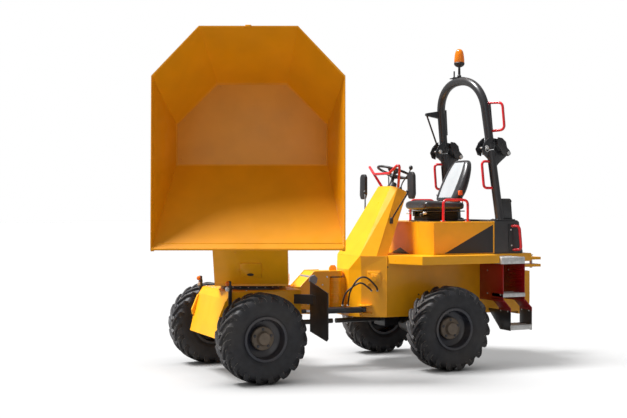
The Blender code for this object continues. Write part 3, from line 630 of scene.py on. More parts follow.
class Repeats:
    """Geometry Nodes trees that copy one shape round an axis, along a row, or onto points."""

    def __init__(self) -> None:
        """Builds the trees."""
        self.round = self.start("copies_round_axis", ("Count", "Int"), ("Axis", "Vector"))
        self.finish_round()
        self.points = self.start("copies_on_points")
        self.finish_points()

    @staticmethod
    def start(name: str, *extra: tuple[str, str]) -> bpy.types.NodeTree:
        """Starts a tree with its inputs.

        Args:
            name: the tree's name.
            extra: further inputs, as (name, type).

        Returns:
            The tree.
        """
        tree = bpy.data.node_groups.new(name, "GeometryNodeTree")
        tree.interface.new_socket("Geometry", in_out="INPUT", socket_type="NodeSocketGeometry")
        tree.interface.new_socket("Geometry", in_out="OUTPUT", socket_type="NodeSocketGeometry")
        for label, kind in (("Shape", "Object"), ("Finish", "Material"), *extra):
            tree.interface.new_socket(label, in_out="INPUT", socket_type=f"NodeSocket{kind}")
        return tree

    @staticmethod
    def close(
        tree: bpy.types.NodeTree, points: bpy.types.NodeSocket, rotation: bpy.types.NodeSocket
    ) -> None:
        """Copies the shape onto points, makes the copies real and sets their finish.

        Args:
            tree: the tree to close.
            points: the points' socket.
            rotation: each copy's turn.
        """
        source = next(node for node in tree.nodes if node.bl_idname == "NodeGroupInput")
        info = tree.nodes.new("GeometryNodeObjectInfo")
        info.transform_space = "ORIGINAL"
        copies = tree.nodes.new("GeometryNodeInstanceOnPoints")
        real = tree.nodes.new("GeometryNodeRealizeInstances")
        dressed = tree.nodes.new("GeometryNodeSetMaterial")
        result = tree.nodes.new("NodeGroupOutput")
        link = tree.links.new
        link(source.outputs["Shape"], info.inputs["Object"])
        link(points, copies.inputs["Points"])
        link(info.outputs["Geometry"], copies.inputs["Instance"])
        link(rotation, copies.inputs["Rotation"])
        link(copies.outputs["Instances"], real.inputs["Geometry"])
        link(real.outputs["Geometry"], dressed.inputs["Geometry"])
        link(source.outputs["Finish"], dressed.inputs["Material"])
        link(dressed.outputs["Geometry"], result.inputs[0])

    def finish_round(self) -> None:
        """Completes the tree that turns copies about an axis through the origin."""
        tree, link = self.round, self.round.links.new
        source = tree.nodes.new("NodeGroupInput")
        row = tree.nodes.new("GeometryNodeMeshLine")
        row.inputs["Offset"].default_value = (0.0, 0.0, 0.0)
        index = tree.nodes.new("GeometryNodeInputIndex")
        step = tree.nodes.new("ShaderNodeMath")
        step.operation = "DIVIDE"
        step.inputs[0].default_value = 2 * math.pi
        turn = tree.nodes.new("ShaderNodeMath")
        turn.operation = "MULTIPLY"
        rotation = tree.nodes.new("FunctionNodeAxisAngleToRotation")
        link(source.outputs["Count"], row.inputs["Count"])
        link(source.outputs["Count"], step.inputs[1])
        link(index.outputs[0], turn.inputs[0])
        link(step.outputs[0], turn.inputs[1])
        link(source.outputs["Axis"], rotation.inputs["Axis"])
        link(turn.outputs[0], rotation.inputs["Angle"])
        self.close(tree, row.outputs[0], rotation.outputs[0])

    def finish_points(self) -> None:
        """Completes the tree that puts copies on points, each turned to face the point's way."""
        tree, link = self.points, self.points.links.new
        source = tree.nodes.new("NodeGroupInput")
        way = tree.nodes.new("GeometryNodeInputNamedAttribute")
        way.data_type = "FLOAT_VECTOR"
        way.inputs["Name"].default_value = "way"
        align = tree.nodes.new("FunctionNodeAlignRotationToVector")
        align.axis = "Z"
        link(way.outputs["Attribute"], align.inputs["Vector"])
        self.close(tree, source.outputs[0], align.outputs[0])

    @staticmethod
    def run(
        tree: bpy.types.NodeTree, carrier: bpy.types.Object, values: dict[str, object]
    ) -> bpy.types.Mesh:
        """Runs a tree on a carrier object, which is then removed.

        Args:
            tree: the tree.
            carrier: the object that holds the starting points.
            values: the inputs, by name.

        Returns:
            A plain mesh.
        """
        bpy.context.scene.collection.objects.link(carrier)
        modifier = carrier.modifiers.new("repeat", "NODES")
        modifier.node_group = tree
        for item in tree.interface.items_tree:
            if item.item_type == "SOCKET" and item.in_out == "INPUT" and item.name in values:
                modifier[item.identifier] = values[item.name]
        graph = bpy.context.evaluated_depsgraph_get()
        mesh = bpy.data.meshes.new_from_object(carrier.evaluated_get(graph))
        carrier.modifiers.remove(modifier)
        bpy.data.objects.remove(carrier, do_unlink=True)
        return mesh

    def around(
        self, shape: bpy.types.Object, finish: bpy.types.Material, count: int, axis: Point
    ) -> bpy.types.Mesh:
        """Copies of a shape turned evenly round an axis through the origin."""
        carrier = bpy.data.objects.new("carrier", bpy.data.meshes.new("carrier"))
        values = {"Shape": shape, "Finish": finish, "Count": count, "Axis": tuple(axis)}
        return self.run(self.round, carrier, values)

    def onto(
        self, shape: bpy.types.Object, finish: bpy.types.Material, spots: Sequence[tuple[Point, Point]]
    ) -> bpy.types.Mesh:
        """Copies of a shape on spots, each a place and the way that it faces."""
        mesh = bpy.data.meshes.new("carrier")
        mesh.from_pydata([tuple(place) for place, _ in spots], [], [])
        ways = mesh.attributes.new("way", "FLOAT_VECTOR", "POINT")
        for item, (_, way) in zip(ways.data, spots):
            item.vector = tuple(Vector(way).normalized())
        carrier = bpy.data.objects.new("carrier", mesh)
        return self.run(self.points, carrier, {"Shape": shape, "Finish": finish})


# ---- workshop ------------------------------------------------------------------------------------


class Workshop:
    """Makes finishes, turns shapes into pieces, and puts them on the frame's bodies."""

    def __init__(self, frame: dict) -> None:
        """Makes every finish and the repeated fixings.
        """
        self.nodes = frame["nodes"]
        self.finishes = {finish.name: finish.make() for finish in FINISHES}
        self.repeats = Repeats()
        self.bolt = self.hidden("bolt_pattern", self.bolt_shape(0.011))
        self.small_bolt = self.hidden("small_bolt_pattern", self.bolt_shape(0.007))

    @staticmethod
    def bolt_shape(size: float) -> Shape:
        """A hexagon head on a washer, facing up from the origin."""
        shape = Shape()
        shape.lathe(
            (0, 0, -0.002), (0, 0, 1), [(0, 0), (size * 1.35, 0), (size * 1.35, 0.0035), (0, 0.0035)], 14
        )
        head = [(0, 0), (size, 0), (size, size * 0.62), (size * 0.85, size * 0.72), (0, size * 0.72)]
        return shape.lathe((0, 0, 0.001), (0, 0, 1), head, 6)

    @staticmethod
    def hidden(name: str, shape: Shape) -> bpy.types.Object:
        """An object that only serves as the pattern for copies."""
        made = bpy.data.objects.new(name, shape.mesh(name))
        bpy.context.scene.collection.objects.link(made)
        made.hide_render = True
        made.hide_viewport = True
        return made

    def piece(
        self, name: str, mesh: bpy.types.Mesh | Shape, finish: str | Sequence[str], body: Body | str,
        replaces: Sequence[str] = (), frame: Matrix = VEHICLE
    ) -> bpy.types.Object:
        """Makes a piece and puts it on its body.

        Args:
            name: the piece's name.
            mesh: its shape or finished mesh, in the frame given.
            finish: the name of its finish, or of several, by the faces' numbers.
            body: the body that it rides on.
            replaces: the CAD nodes that it stands for.
            frame: where its coordinates start.

        Returns:
            The object.
        """
        data = mesh.mesh(name) if isinstance(mesh, Shape) else mesh
        data.transform(frame)
        made = bpy.data.objects.new(name, data)
        bpy.context.scene.collection.objects.link(made)
        names = [finish] if isinstance(finish, str) else list(finish)
        if data.materials:
            data.materials.clear()
        for each in names:
            data.materials.append(self.finishes[each])
        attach(made, body.value if isinstance(body, Body) else body)
        if replaces:
            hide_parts(*replaces)
        log.info("made %s", name)
        return made

    def bolts(
        self, name: str, spots: Sequence[tuple[Point, Point]], body: Body, finish: str = "zinc",
        small: bool = False, frame: Matrix = VEHICLE
    ) -> bpy.types.Object:
        """Bolt heads on spots, as one piece; the arguments are as in piece."""
        pattern = self.small_bolt if small else self.bolt
        mesh = self.repeats.onto(pattern, self.finishes[finish], spots)
        return self.piece(name, mesh, finish, body, frame=frame)

    def dress(self, node: str, finish: str) -> None:
        """Gives a CAD node its finish."""
        data = self.nodes[node].data
        data.materials.clear()
        data.materials.append(self.finishes[finish])
        log.info("dressed %s", node)


# ---- wheels --------------------------------------------------------------------------------------


@dataclass
class Wheel:
    """One wheel: a tyre with chevron lugs, a dished rim, and its hub with nuts."""

    end: int
    side: int
    radius: float = 0.4222
    axle_x: float = 1.01
    track_y: float = 0.745
    lugs: int = 19
    lead: float = 0.40  # how far a lug's middle runs ahead of its shoulder, in radians
    nuts: int = 5
    carcass: Sequence[Point] = field(default_factory=lambda: (  # radius, distance outward
        (0.396, 0.0), (0.3955, 0.060), (0.392, 0.095), (0.384, 0.119), (0.370, 0.133), (0.345, 0.1405),
        (0.315, 0.1435), (0.285, 0.1425), (0.258, 0.1385), (0.250, 0.1390), (0.245, 0.1365), (0.232, 0.1310),
        (0.222, 0.1240), (0.2135, 0.1185), (0.1960, 0.1180)))

    @property
    def name(self) -> str:
        """The wheel's place, as in front_left."""
        return f"{'front' if self.end > 0 else 'rear'}_{'left' if self.side > 0 else 'right'}"

    @property
    def frame(self) -> Matrix:
        """The wheel's frame, with Y outward on the left side and inward on the right."""
        return VEHICLE @ Matrix.Translation((self.end * self.axle_x, self.side * self.track_y, 0.4225))

    def casing(self) -> Shape:
        """The tyre without its lugs, with two raised rings on each sidewall."""
        half = list(self.carcass)
        profile = [(r, -y) for r, y in reversed(half)] + half[1:]
        return Shape().lathe((0, 0, 0), (0, 1, 0), profile, 72)

    def lug(self, side: int, turn: float) -> list[list[Vector]]:
        """The rings of one lug, from the tyre's middle over the shoulder.

        Args:
            side: which half of the tread it is on.
            turn: where it starts, in radians.

        Returns:
            Rings for Shape.rings.
        """
        track = [  # radius and distance outward of the top, the same of the foot, half its width, its turn
            (0.4195, -0.010, 0.390, -0.010, 0.0165, 0.00), (0.4222, 0.010, 0.388, 0.010, 0.0175, 0.05),
            (0.4222, 0.045, 0.388, 0.045, 0.0180, 0.28), (0.4215, 0.080, 0.386, 0.078, 0.0190, 0.52),
            (0.4190, 0.110, 0.378, 0.106, 0.0205, 0.74), (0.4120, 0.134, 0.366, 0.122, 0.0220, 0.90),
            (0.3960, 0.1442, 0.352, 0.131, 0.0225, 0.97), (0.3740, 0.1446, 0.340, 0.133, 0.0215, 1.00),
            (0.3560, 0.1425, 0.335, 0.134, 0.0200, 1.00)]
        rings = []
        for top, out, foot, foot_out, half, along in track:
            centre = turn - self.lead * along
            spread, flare = half / top, (half + 0.007) / top
            corners = [(foot, foot_out, -flare), (top - 0.003, out, -spread), (top, out, -spread * 0.8),
                       (top, out, spread * 0.8), (top - 0.003, out, spread), (foot, foot_out, flare)]
            rings.append(
                [
                    Vector((r * math.sin(centre + a), side * y, r * math.cos(centre + a))) for r, y,
                    a in corners
                ]
            )
        return rings

    def tyre(self, shop: Workshop) -> None:
        """Makes the tyre, its lugs copied round the axle."""
        shape = Shape()
        shape.rings(self.lug(1, 0.0))
        shape.rings(self.lug(-1, math.pi / self.lugs))
        pattern = shop.hidden(f"lug_pattern_{self.name}", shape)
        lugs = shop.repeats.around(pattern, shop.finishes["tyre_rubber"], self.lugs, (0, 1, 0))
        whole = bmesh.new()
        whole.from_mesh(lugs)
        casing = self.casing().mesh("casing")
        whole.from_mesh(casing)
        whole.to_mesh(lugs)
        whole.free()
        lugs.shade_smooth()
        lugs.set_sharp_from_angle(angle=math.radians(32))
        shop.piece(
            f"treaded_tyre_{self.name}", lugs, "tyre_rubber", f"wheel_{self.name}",
            [f"tyre_{self.name}"], self.frame
        )

    def rim(self, shop: Workshop) -> None:
        """Makes the rim, the hub's plate and boss, and the nuts."""
        s = self.side
        bed = [
            (0.0, -0.006), (0.150, -0.006), (0.176, -0.014), (0.1835, -0.030), (0.1840, -0.118),
            (0.187, -0.127), (0.2090, -0.129), (0.2115, -0.126), (0.2105, -0.1195), (0.1950, -0.1175),
            (0.1940, -0.100), (0.1940, 0.100), (0.1950, 0.1175), (0.2105, 0.1195), (0.2115, 0.126),
            (0.2090, 0.129), (0.187, 0.127), (0.1840, 0.118), (0.1820, 0.060), (0.1760, 0.026),
            (0.158, 0.012), (0.128, 0.008), (0.118, 0.004), (0.0, 0.004)
        ]
        shape = Shape().lathe((0, 0, 0), (0, s, 0), bed, 72)
        shape.rod((0.0, s * 0.02, 0.152), (0.0, s * 0.060, 0.168), 0.005, 10)
        shop.piece(
            f"rim_disc_{self.name}", shape, "rim_paint", f"wheel_{self.name}", [f"rim_{self.name}"],
            self.frame
        )
        hub = Shape()
        hub.lathe(
            (0, 0, 0), (0, s, 0),
            [
                (0, 0.002), (0.108, 0.002), (0.1105, 0.006), (0.1105, 0.040), (0.104, 0.0475),
                (0.074, 0.050), (0.0655, 0.054), (0.0620, 0.060), (0.0610, 0.086), (0.0560, 0.0935),
                (0.020, 0.0945), (0, 0.0945)
            ],
            48
        )
        hub.lathe((0, 0, 0), (0, s, 0), [(0, 0.090), (0.010, 0.090), (0.010, 0.0950), (0, 0.0950)], 6)
        shop.piece(f"hub_{self.name}", hub, "hub_primer", f"wheel_{self.name}", frame=self.frame)
        spots = [
            (
                (
                    0.086 * math.sin(2 * math.pi * i / self.nuts), s * 0.0485,
                    0.086 * math.cos(2 * math.pi * i / self.nuts)
                ),
                (0, s, 0)
            )
            for i in range(self.nuts)
        ]
        shop.bolts(f"wheel_nuts_{self.name}", spots, f"wheel_{self.name}", "rim_paint", frame=self.frame)

    def build(self, shop: Workshop) -> None:
        """Makes the whole wheel."""
        self.tyre(shop)
        self.rim(shop)


# ---- skip and its support ------------------------------------------------------------------------


@dataclass
class Skip:
    """The skip's trim: rim bar, floor panel, weld beads, ears and bolts, from its rear rim and floor."""

    depth: float = 0.65
    floor: Sequence[Point] = ((0.43, 0.342), (0.83, 0.743), (1.246, 0.743))
    rim: Sequence[Point] = ((0.0, 0.455), (0.46, 0.89), (2.06, 0.89))
    wall: float = 0.008

    def outline(self, height: float, inset: float) -> list[Vector]:
        """The skip's outline at a height, moved inward.

        Args:
            height: above the floor's underside.
            inset: how far inside the outer face.

        Returns:
            Six points, from the rear right to the rear left by the front.
        """
        share = height / self.depth
        half = [
            (a0 + (a1 - a0) * share, y0 + (y1 - y0) * share) for (a0, y0),
            (a1, y1) in zip(self.floor, self.rim)
        ]
        ways = ((1.0, -0.4), (0.45, -0.9), (-0.9, -1.0))
        moved = [(a + inset * wa, y + inset * wy) for (a, y), (wa, wy) in zip(half, ways)]
        return [Vector((a, y, height)) for a, y in moved] + [
            Vector((a, -y, height)) for a, y in reversed(moved)
        ]

    def build(self, shop: Workshop) -> None:
        """Dresses the skip and adds its trim."""
        shop.dress("skip", "skip_paint")
        lip = Shape()
        outer, inner = self.outline(self.depth - 0.001, 0.0), self.outline(self.depth - 0.001, 0.011)
        low_out, low_in = self.outline(self.depth - 0.034, 0.0005), self.outline(self.depth - 0.034, 0.011)
        lip.rings([outer, inner, low_in, low_out], joined=True)
        for side, _ in SIDES:
            lip.block(
                (2.03, side * 0.875 - 0.012, self.depth - 0.07),
                (2.068, side * 0.875 + 0.012, self.depth - 0.0005), 0.003
            )
        lip.block((-0.006, -0.028, self.depth - 0.05), (0.016, 0.028, self.depth + 0.022), 0.004)
        lip.block((1.99, -0.86, self.depth - 0.05), (2.045, 0.86, self.depth - 0.035), 0.002)
        shop.piece("skip_rim_bar", lip, "skip_paint", Body.SKIP, frame=SKIP)
        panel = [(p.x, p.y) for p in self.outline(0.0, 0.022)]
        plate = Shape().prism("Z", panel, self.wall - 0.001, self.wall + 0.0035, 0.001)
        shop.piece("skip_floor_panel", plate, "skip_panel_paint", Body.SKIP, frame=SKIP)
        beads = Shape()
        corners = self.outline(self.wall + 0.003, 0.0105)
        beads.tube([*corners, corners[0]], 0.0045, 8)
        for low, high in zip(self.outline(0.02, 0.0115), self.outline(self.depth - 0.04, 0.0105)):
            beads.tube([low, low.lerp(high, 0.5), high], 0.0045, 8)
        shop.piece("skip_weld_beads", beads, "skip_paint", Body.SKIP, frame=SKIP)
        spots = [((a, side * y, self.wall + 0.0035), (0, 0, 1)) for side, _ in SIDES for a, y in
                 ((0.475, 0.31), (0.80, 0.655), (1.18, 0.69))]
        shop.bolts("skip_floor_bolts", spots, Body.SKIP, "skip_panel_paint", True, SKIP)


@dataclass
class SkipSupport:
    """The swivelling support's trim, its ram, and the slew ring's bolts, in the swivel's frame."""

    ram_base: Vector = field(default_factory=lambda: Vector((-0.42, 0.0, 0.95)))
    eye_level: Vector = field(default_factory=lambda: Vector((-0.40, 0.0, -0.487)))

    def build(self, shop: Workshop) -> None:
        """Dresses the support and adds its trim and ram."""
        shop.dress("swivel_frame", "yellow_paint")
        shop.dress("slew_ring", "black_steel")
        lean = Matrix.Translation((0.56, 0.0, 1.136)) @ Matrix.Rotation(math.atan2(0.347, 0.505), 4, "Y")
        plate = Shape().block((0.0, -0.10, -0.20), (0.010, 0.10, -0.03), 0.003).moved(lean)
        shop.piece("support_cover_plate", plate, "yellow_paint", Body.SWIVEL, frame=SWIVEL)
        # A black oval sheet on the cover plate: painted shade standing in for a slot.
        slot = Shape()
        ring = [(-0.005 + 0.034 * math.cos(a), -0.165 + 0.017 * math.sin(a))
                for a in [2 * math.pi * i / 20 for i in range(20)]]
        slot.prism("X", ring, 0.0095, 0.0112).moved(lean)
        shop.piece("support_cover_slot", slot, "black_plastic", Body.SWIVEL, frame=SWIVEL)
        way = lean.to_3x3() @ Vector((1, 0, 0))
        spots = [
            (tuple(lean @ Vector((0.0, y, z))), tuple(way)) for y,
            z in ((-0.14, 0.09), (0.12, -0.115), (-0.115, -0.115))
        ]
        spots += [((TIP_PIVOT.x, side * 0.392, TIP_PIVOT.z), (0, side, 0)) for side, _ in SIDES]
        shop.bolts("support_bolts", spots, Body.SWIVEL, "yellow_paint", True, SWIVEL)
        folds = Shape()
        for side, _ in SIDES:
            folds.tube([(0.385, side * 0.338, 0.905), (0.70, side * 0.338, 1.365)], 0.006, 8)
            folds.rod(
                (TIP_PIVOT.x, side * 0.3565, TIP_PIVOT.z), (TIP_PIVOT.x, side * 0.3595, TIP_PIVOT.z), 0.032,
                24, 0.001
            )
        shop.piece("support_welds", folds, "yellow_paint", Body.SWIVEL, frame=SWIVEL)
        ring_frame = VEHICLE @ Matrix.Translation((0.80, 0.0, 0.0))
        spots = [((0.316 * math.cos(a), 0.316 * math.sin(a), 0.8565), (0, 0, 1)) for a in
                 [2 * math.pi * i / 24 for i in range(24)]]
        shop.bolts("slew_ring_bolts", spots, Body.FRONT, "zinc", True, ring_frame)
        eye = TIP_PIVOT + Matrix.Rotation(math.radians(88), 3, "Y") @ self.eye_level
        Ram(
            "tip", self.ram_base, eye, 0.037, 0.020, 0.60, 0.05, Vector((0, 1, 0)), SWIVEL, Body.TIP_BARREL,
            Body.TIP_ROD
        ).build(shop)


@dataclass
class Ram:
    """A hydraulic cylinder: barrel with its gland and ports, polished rod, and an eye at each end."""

    name: str
    base: Vector
    eye: Vector
    radius: float
    rod_radius: float
    mouth: float
    half_width: float
    across: Vector
    frame: Matrix
    barrel_body: Body
    rod_body: Body

    def build(self, shop: Workshop) -> None:
        """Makes the barrel and the rod."""
        along = (self.eye - self.base).normalized()
        length = (self.eye - self.base).length
        r, inside = self.radius, self.rod_radius + 0.002
        barrel = Shape()
        profile = [
            (0, 0.012), (r * 0.85, 0.012), (r * 0.985, 0.02), (r * 0.985, self.mouth - 0.06),
            (r, self.mouth - 0.058), (r, self.mouth - 0.008), (r * 0.9, self.mouth), (inside, self.mouth),
            (inside, self.mouth - 0.04), (0, self.mouth - 0.04)
        ]
        barrel.lathe(self.base, along, profile, 32)
        pin = self.across * self.half_width
        barrel.rod(self.base - pin, self.base + pin, self.rod_radius * 1.7, 28, 0.002)
        lift = along.cross(self.across).normalized()
        lift = -lift if lift.z < 0 else lift
        for reach in (0.06, self.mouth - 0.09):
            foot = self.base + along * reach + lift * (r - 0.004)
            barrel.rod(foot, foot + lift * 0.014, 0.010, 6)
        shop.piece(
            f"{self.name}_ram_barrel", barrel, "black_steel", self.barrel_body,
            [f"{self.name}_cylinder_barrel"], self.frame
        )
        shaft = Shape().rod(
            self.base + along * (self.mouth - 0.10), self.base + along * (length - 0.02), self.rod_radius,
            32
        )
        shop.piece(
            f"{self.name}_ram_rod", shaft, "chrome", self.rod_body,
            [f"{self.name}_cylinder_rod"], self.frame
        )
        end = Shape().rod(self.eye - pin, self.eye + pin, self.rod_radius * 1.5, 28, 0.002)
        end.rod(
            self.base + along * (length - 0.075), self.base + along * (length - 0.01),
            self.rod_radius * 1.25, 24, 0.003
        )
        shop.piece(
            f"{self.name}_ram_rod_end", end, "black_steel", self.rod_body, frame=self.frame
        )


# ---- front half ----------------------------------------------------------------------------------


@dataclass
class FrontHalf:
    """The front frame's dressing, lamps, mudflaps and trim."""

    top: float = 0.83

    def build(self, shop: Workshop) -> None:
        """Dresses the front half and adds its trim."""
        for node, finish in (
            ("front_chassis", "yellow_paint"), ("front_axle", "black_steel"),
            ("front_drive_shaft", "black_steel"), ("mudflap_left", "black_plastic"),
            ("mudflap_right", "black_plastic")
        ):
            shop.dress(node, finish)
        plate = Shape().block((0.47, -0.412, self.top - 0.001), (1.192, 0.412, self.top + 0.007), 0.003)
        hinge = Shape()
        for side, _ in SIDES:
            hinge.lathe(
                (1.258, side * 0.4325, 0.600), (0, side, 0),
                [(0.022, 0), (0.034, 0), (0.034, 0.004), (0.022, 0.004)], 28
            )
        shop.piece("front_top_plate", plate, "yellow_paint", Body.FRONT)
        shop.piece("tie_down_rings", hinge, "yellow_paint", Body.FRONT)
        # Black discs in the tie-down rings: painted shade standing in for the holes.
        holes = Shape()
        for side, _ in SIDES:
            holes.rod((1.258, side * 0.425, 0.600), (1.258, side * 0.4332, 0.600), 0.022, 24)
        shop.piece("tie_down_holes", holes, "black_plastic", Body.FRONT)
        spots = [((x, side * y, self.top + 0.007), (0, 0, 1)) for side, _ in SIDES for x, y in
                 ((1.165, 0.10), (1.165, 0.20), (1.165, 0.30), (1.165, 0.38), (1.02, 0.385), (0.60, 0.385))]
        spots += [((x, side * 0.1305, z), (0, side, 0)) for side, _ in SIDES for x, z in
                  ((0.05, 0.93), (0.05, 0.62), (0.10, 0.70), (0.10, 0.85), (0.26, 0.66))]
        shop.bolts("front_frame_bolts", spots, Body.FRONT, "zinc", True)
        cap = Shape().lathe(
            (0.205, 0, 0.905), (0, 1, 0),
            [(0, -0.140), (0.046, -0.140), (0.052, -0.134), (0.052, 0.134), (0.046, 0.140), (0, 0.140)], 6
        )
        shop.piece("neck_pin_cap", cap, "grey_cap", Body.FRONT)
        edge = Shape()
        for side, _ in SIDES:
            edge.tube(
                [
                    (0.56, side * 0.125, 0.83), (0.345, side * 0.125, 0.834), (0.192, side * 0.125, 0.986),
                    (0.03, side * 0.125, 0.987)
                ],
                0.006, 8
            )
            edge.tube(
                [
                    (0.47, side * 0.42, 0.828), (1.19, side * 0.42, 0.828), (1.232, side * 0.42, 0.762),
                    (1.298, side * 0.42, 0.517)
                ],
                0.005, 8
            )
        shop.piece("front_frame_welds", edge, "yellow_paint", Body.FRONT)
        self.lamps(shop)
        spots = [
            ((0.405, side * y, z), (1, 0, 0)) for side, _ in SIDES for y,
            z in ((0.53, 0.77), (0.53, 0.72), (0.60, 0.77), (0.60, 0.72))
        ]
        shop.bolts("mudflap_bolts", spots, Body.FRONT, "black_steel", True)
        flap = Shape()
        for side, _ in SIDES:
            low, high = sorted((side * 0.505, side * 0.63))
            flap.block((0.4045, low, 0.70), (0.409, high, 0.79), 0.0015)
        shop.piece("mudflap_clamps", flap, "black_steel", Body.FRONT)

    def lamps(self, shop: Workshop) -> None:
        """Makes each front lamp: its bracket, housing, and an orange lens over a white one."""
        for side, name in SIDES:
            y = side * 0.435
            low, high = sorted((side * 0.4325, side * 0.4445))
            housing = Shape().block((1.19, low, 0.66), (1.224, high, 0.90), 0.002)
            low, high = sorted((side * 0.406, side * 0.4645))
            housing.block((1.201, low, 0.836), (1.222, high, 0.939), 0.006)
            shop.piece(
                f"lamp_housing_{name}", housing, "black_plastic", Body.FRONT,
                [f"front_lamp_{name}"]
            )
            dome = [(0, 0.0), (0.0225, 0.0), (0.0225, 0.014), (0.019, 0.024), (0.010, 0.030), (0, 0.0315)]
            shop.piece(
                f"lamp_indicator_{name}", Shape().lathe((1.2215, y, 0.914), (1, 0, 0), dome, 28),
                "orange_lens", Body.FRONT
            )
            shop.piece(
                f"lamp_white_{name}", Shape().lathe((1.2215, y, 0.862), (1, 0, 0), dome, 28), "white_lens",
                Body.FRONT
            )


# ---- rear half -----------------------------------------------------------------------------------


@dataclass
class RearHalf:
    """The rear frame, deck, seat box and cover, with their trim."""

    handle: float = 0.014

    def build(self, shop: Workshop) -> None:
        """Dresses the rear half and adds its trim."""
        for node, finish in (
            ("rear_chassis", "yellow_paint"), ("rear_counterweight", "yellow_paint"),
            ("deck", "yellow_paint"), ("console", "yellow_paint"), ("seat_box", "striped_paint"),
            ("engine_and_gearbox", "black_steel"), ("rear_axle", "black_steel"),
            ("rear_drive_shaft", "black_steel")
        ):
            shop.dress(node, finish)
        self.hinge_bands(shop)
        self.chassis_trim(shop)
        self.deck_trim(shop)
        self.cover(shop)
        self.hoses(shop)

    @staticmethod
    def hinge_bands(shop: Workshop) -> None:
        """Makes the banded sleeve round the upright hinge."""
        bands = Shape()
        for i in range(6):
            low = 0.640 + 0.045 * i
            bands.lathe(
                (-0.09, 0, low), (0, 0, 1), [(0.080, 0), (0.0885, 0.003), (0.0885, 0.021), (0.080, 0.024)],
                40
            )
        shop.piece("hinge_bands", bands, "yellow_paint", Body.REAR)
        collars = Shape()
        for low in (0.607, 0.915):
            collars.lathe(
                (-0.09, 0, low), (0, 0, 1), [(0.06, 0), (0.0865, 0), (0.0865, 0.008), (0.06, 0.008)], 40
            )
        shop.piece("hinge_seals", collars, "black_steel", Body.REAR)

    @staticmethod
    def chassis_trim(shop: Workshop) -> None:
        """Makes the panels, bosses, seams and bolts on the chassis, and black discs of painted shade for its
        holes.
        """
        way = Vector((0.5369, 0.8437, 0.0))  # outward from the left chamfer
        turn = math.atan2(way.y, way.x)
        trim, spots, dark = Shape(), [], Shape()
        for side, _ in SIDES:
            face = Matrix.Scale(side, 4, (0, 1, 0)) @ Matrix.Translation(
                (-0.38, 0.340, 0.0)
            ) @ Matrix.Rotation(turn, 4, "Z")
            boss = Shape().lathe(
                (0, 0.0, 0.915), (1, 0, 0),
                [(0, -0.002), (0.052, -0.002), (0.050, 0.020), (0.030, 0.022), (0.030, 0.034), (0, 0.034)],
                6
            )
            boss.block((-0.002, -0.068, 0.845), (0.008, 0.068, 0.99), 0.003)
            boss.moved(face)
            trim.take(boss)
            spots += [
                (tuple(face @ Vector((0.008, y, z))), tuple(face.to_3x3() @ Vector((1, 0, 0)))) for y,
                z in ((-0.052, 0.863), (0.052, 0.863), (-0.052, 0.972), (0.052, 0.972), (0.10, 0.905))
            ]
            # Black discs on each side: painted shade standing in for holes.
            for z, x in ((1.03, -0.20), (0.74, -0.56)):
                dark.rod((x - 0.30, side * 0.4095, z), (x - 0.30, side * 0.4125, z), 0.008, 16)
            trim.tube(
                [(-0.49, side * 0.409, 0.525), (-0.49, side * 0.409, 1.0), (-0.49, side * 0.409, 1.135)],
                0.005, 8
            )
            trim.block((-2.095, side * 0.39 - 0.022, 0.522), (-0.50, side * 0.39 + 0.022, 0.530), 0.002)
            spots += [((x, side * 0.4105, 1.05), (0, side, 0)) for x in (-0.62, -1.10, -1.52)]
        trim.prism("Y", [(-0.46, 1.005), (-0.33, 1.135), (-0.48, 1.135)], -0.20, 0.20, 0.002)
        shop.piece("chassis_trim", trim, "yellow_paint", Body.REAR)
        shop.piece("chassis_holes", dark, "black_plastic", Body.REAR)
        shop.bolts("chassis_bolts", spots, Body.REAR, "yellow_paint", True)
        jaw = Shape()
        jaw.rod((-2.545, 0, 0.955), (-2.545, 0, 1.098), 0.016, 24, 0.002)
        jaw.rod((-2.545, 0, 1.098), (-2.545, 0, 1.108), 0.026, 24, 0.003)
        shop.piece("tow_pin", jaw, "zinc", Body.REAR)

    @staticmethod
    def deck_trim(shop: Workshop) -> None:
        """Makes the console's and seat box's trim, the deck's raised studs, and the levers."""
        studs = Shape().lathe(
            (0, 0, -0.0005), (0, 0, 1), [(0, 0), (0.009, 0), (0.007, 0.0028), (0, 0.0028)], 8
        )
        pattern = shop.hidden("stud_pattern", studs)
        places = [((-0.70 - 0.045 * i, side * (0.42 + 0.045 * j), DECK_TOP), (0, 0, 1)) for side, _ in SIDES
                  for i in range(20) for j in range(9) if (i + j) % 2 == 0 and 0.42 + 0.045 * j > 0.60]
        mesh = shop.repeats.onto(pattern, shop.finishes["yellow_paint"], places)
        shop.piece("deck_studs", mesh, "yellow_paint", Body.REAR)
        trim, dark, spots = Shape(), Shape(), []
        for side, _ in SIDES:
            spots += [((-1.20 - 0.22 * i, side * 0.5605, 1.455), (0, side, 0)) for i in range(3)]
            trim.tube(
                [
                    (-0.875, side * 0.382, 1.483), (-0.956, side * 0.558, 1.483),
                    (-1.683, side * 0.558, 1.483)
                ],
                0.005, 8
            )
        shop.piece("seat_box_seams", trim, "yellow_paint", Body.REAR)
        shop.bolts("seat_box_bolts", spots, Body.REAR, "yellow_paint", True)
        top = [(-0.700, 0.125), (-0.742, 0.178), (-0.828, 0.178)]
        outline = [*top, *((x, -y) for x, y in reversed(top))]

        def on_top(x: float) -> float:
            """Height of the console's sloping top."""
            return 1.86 + (x + 0.68) * 0.375

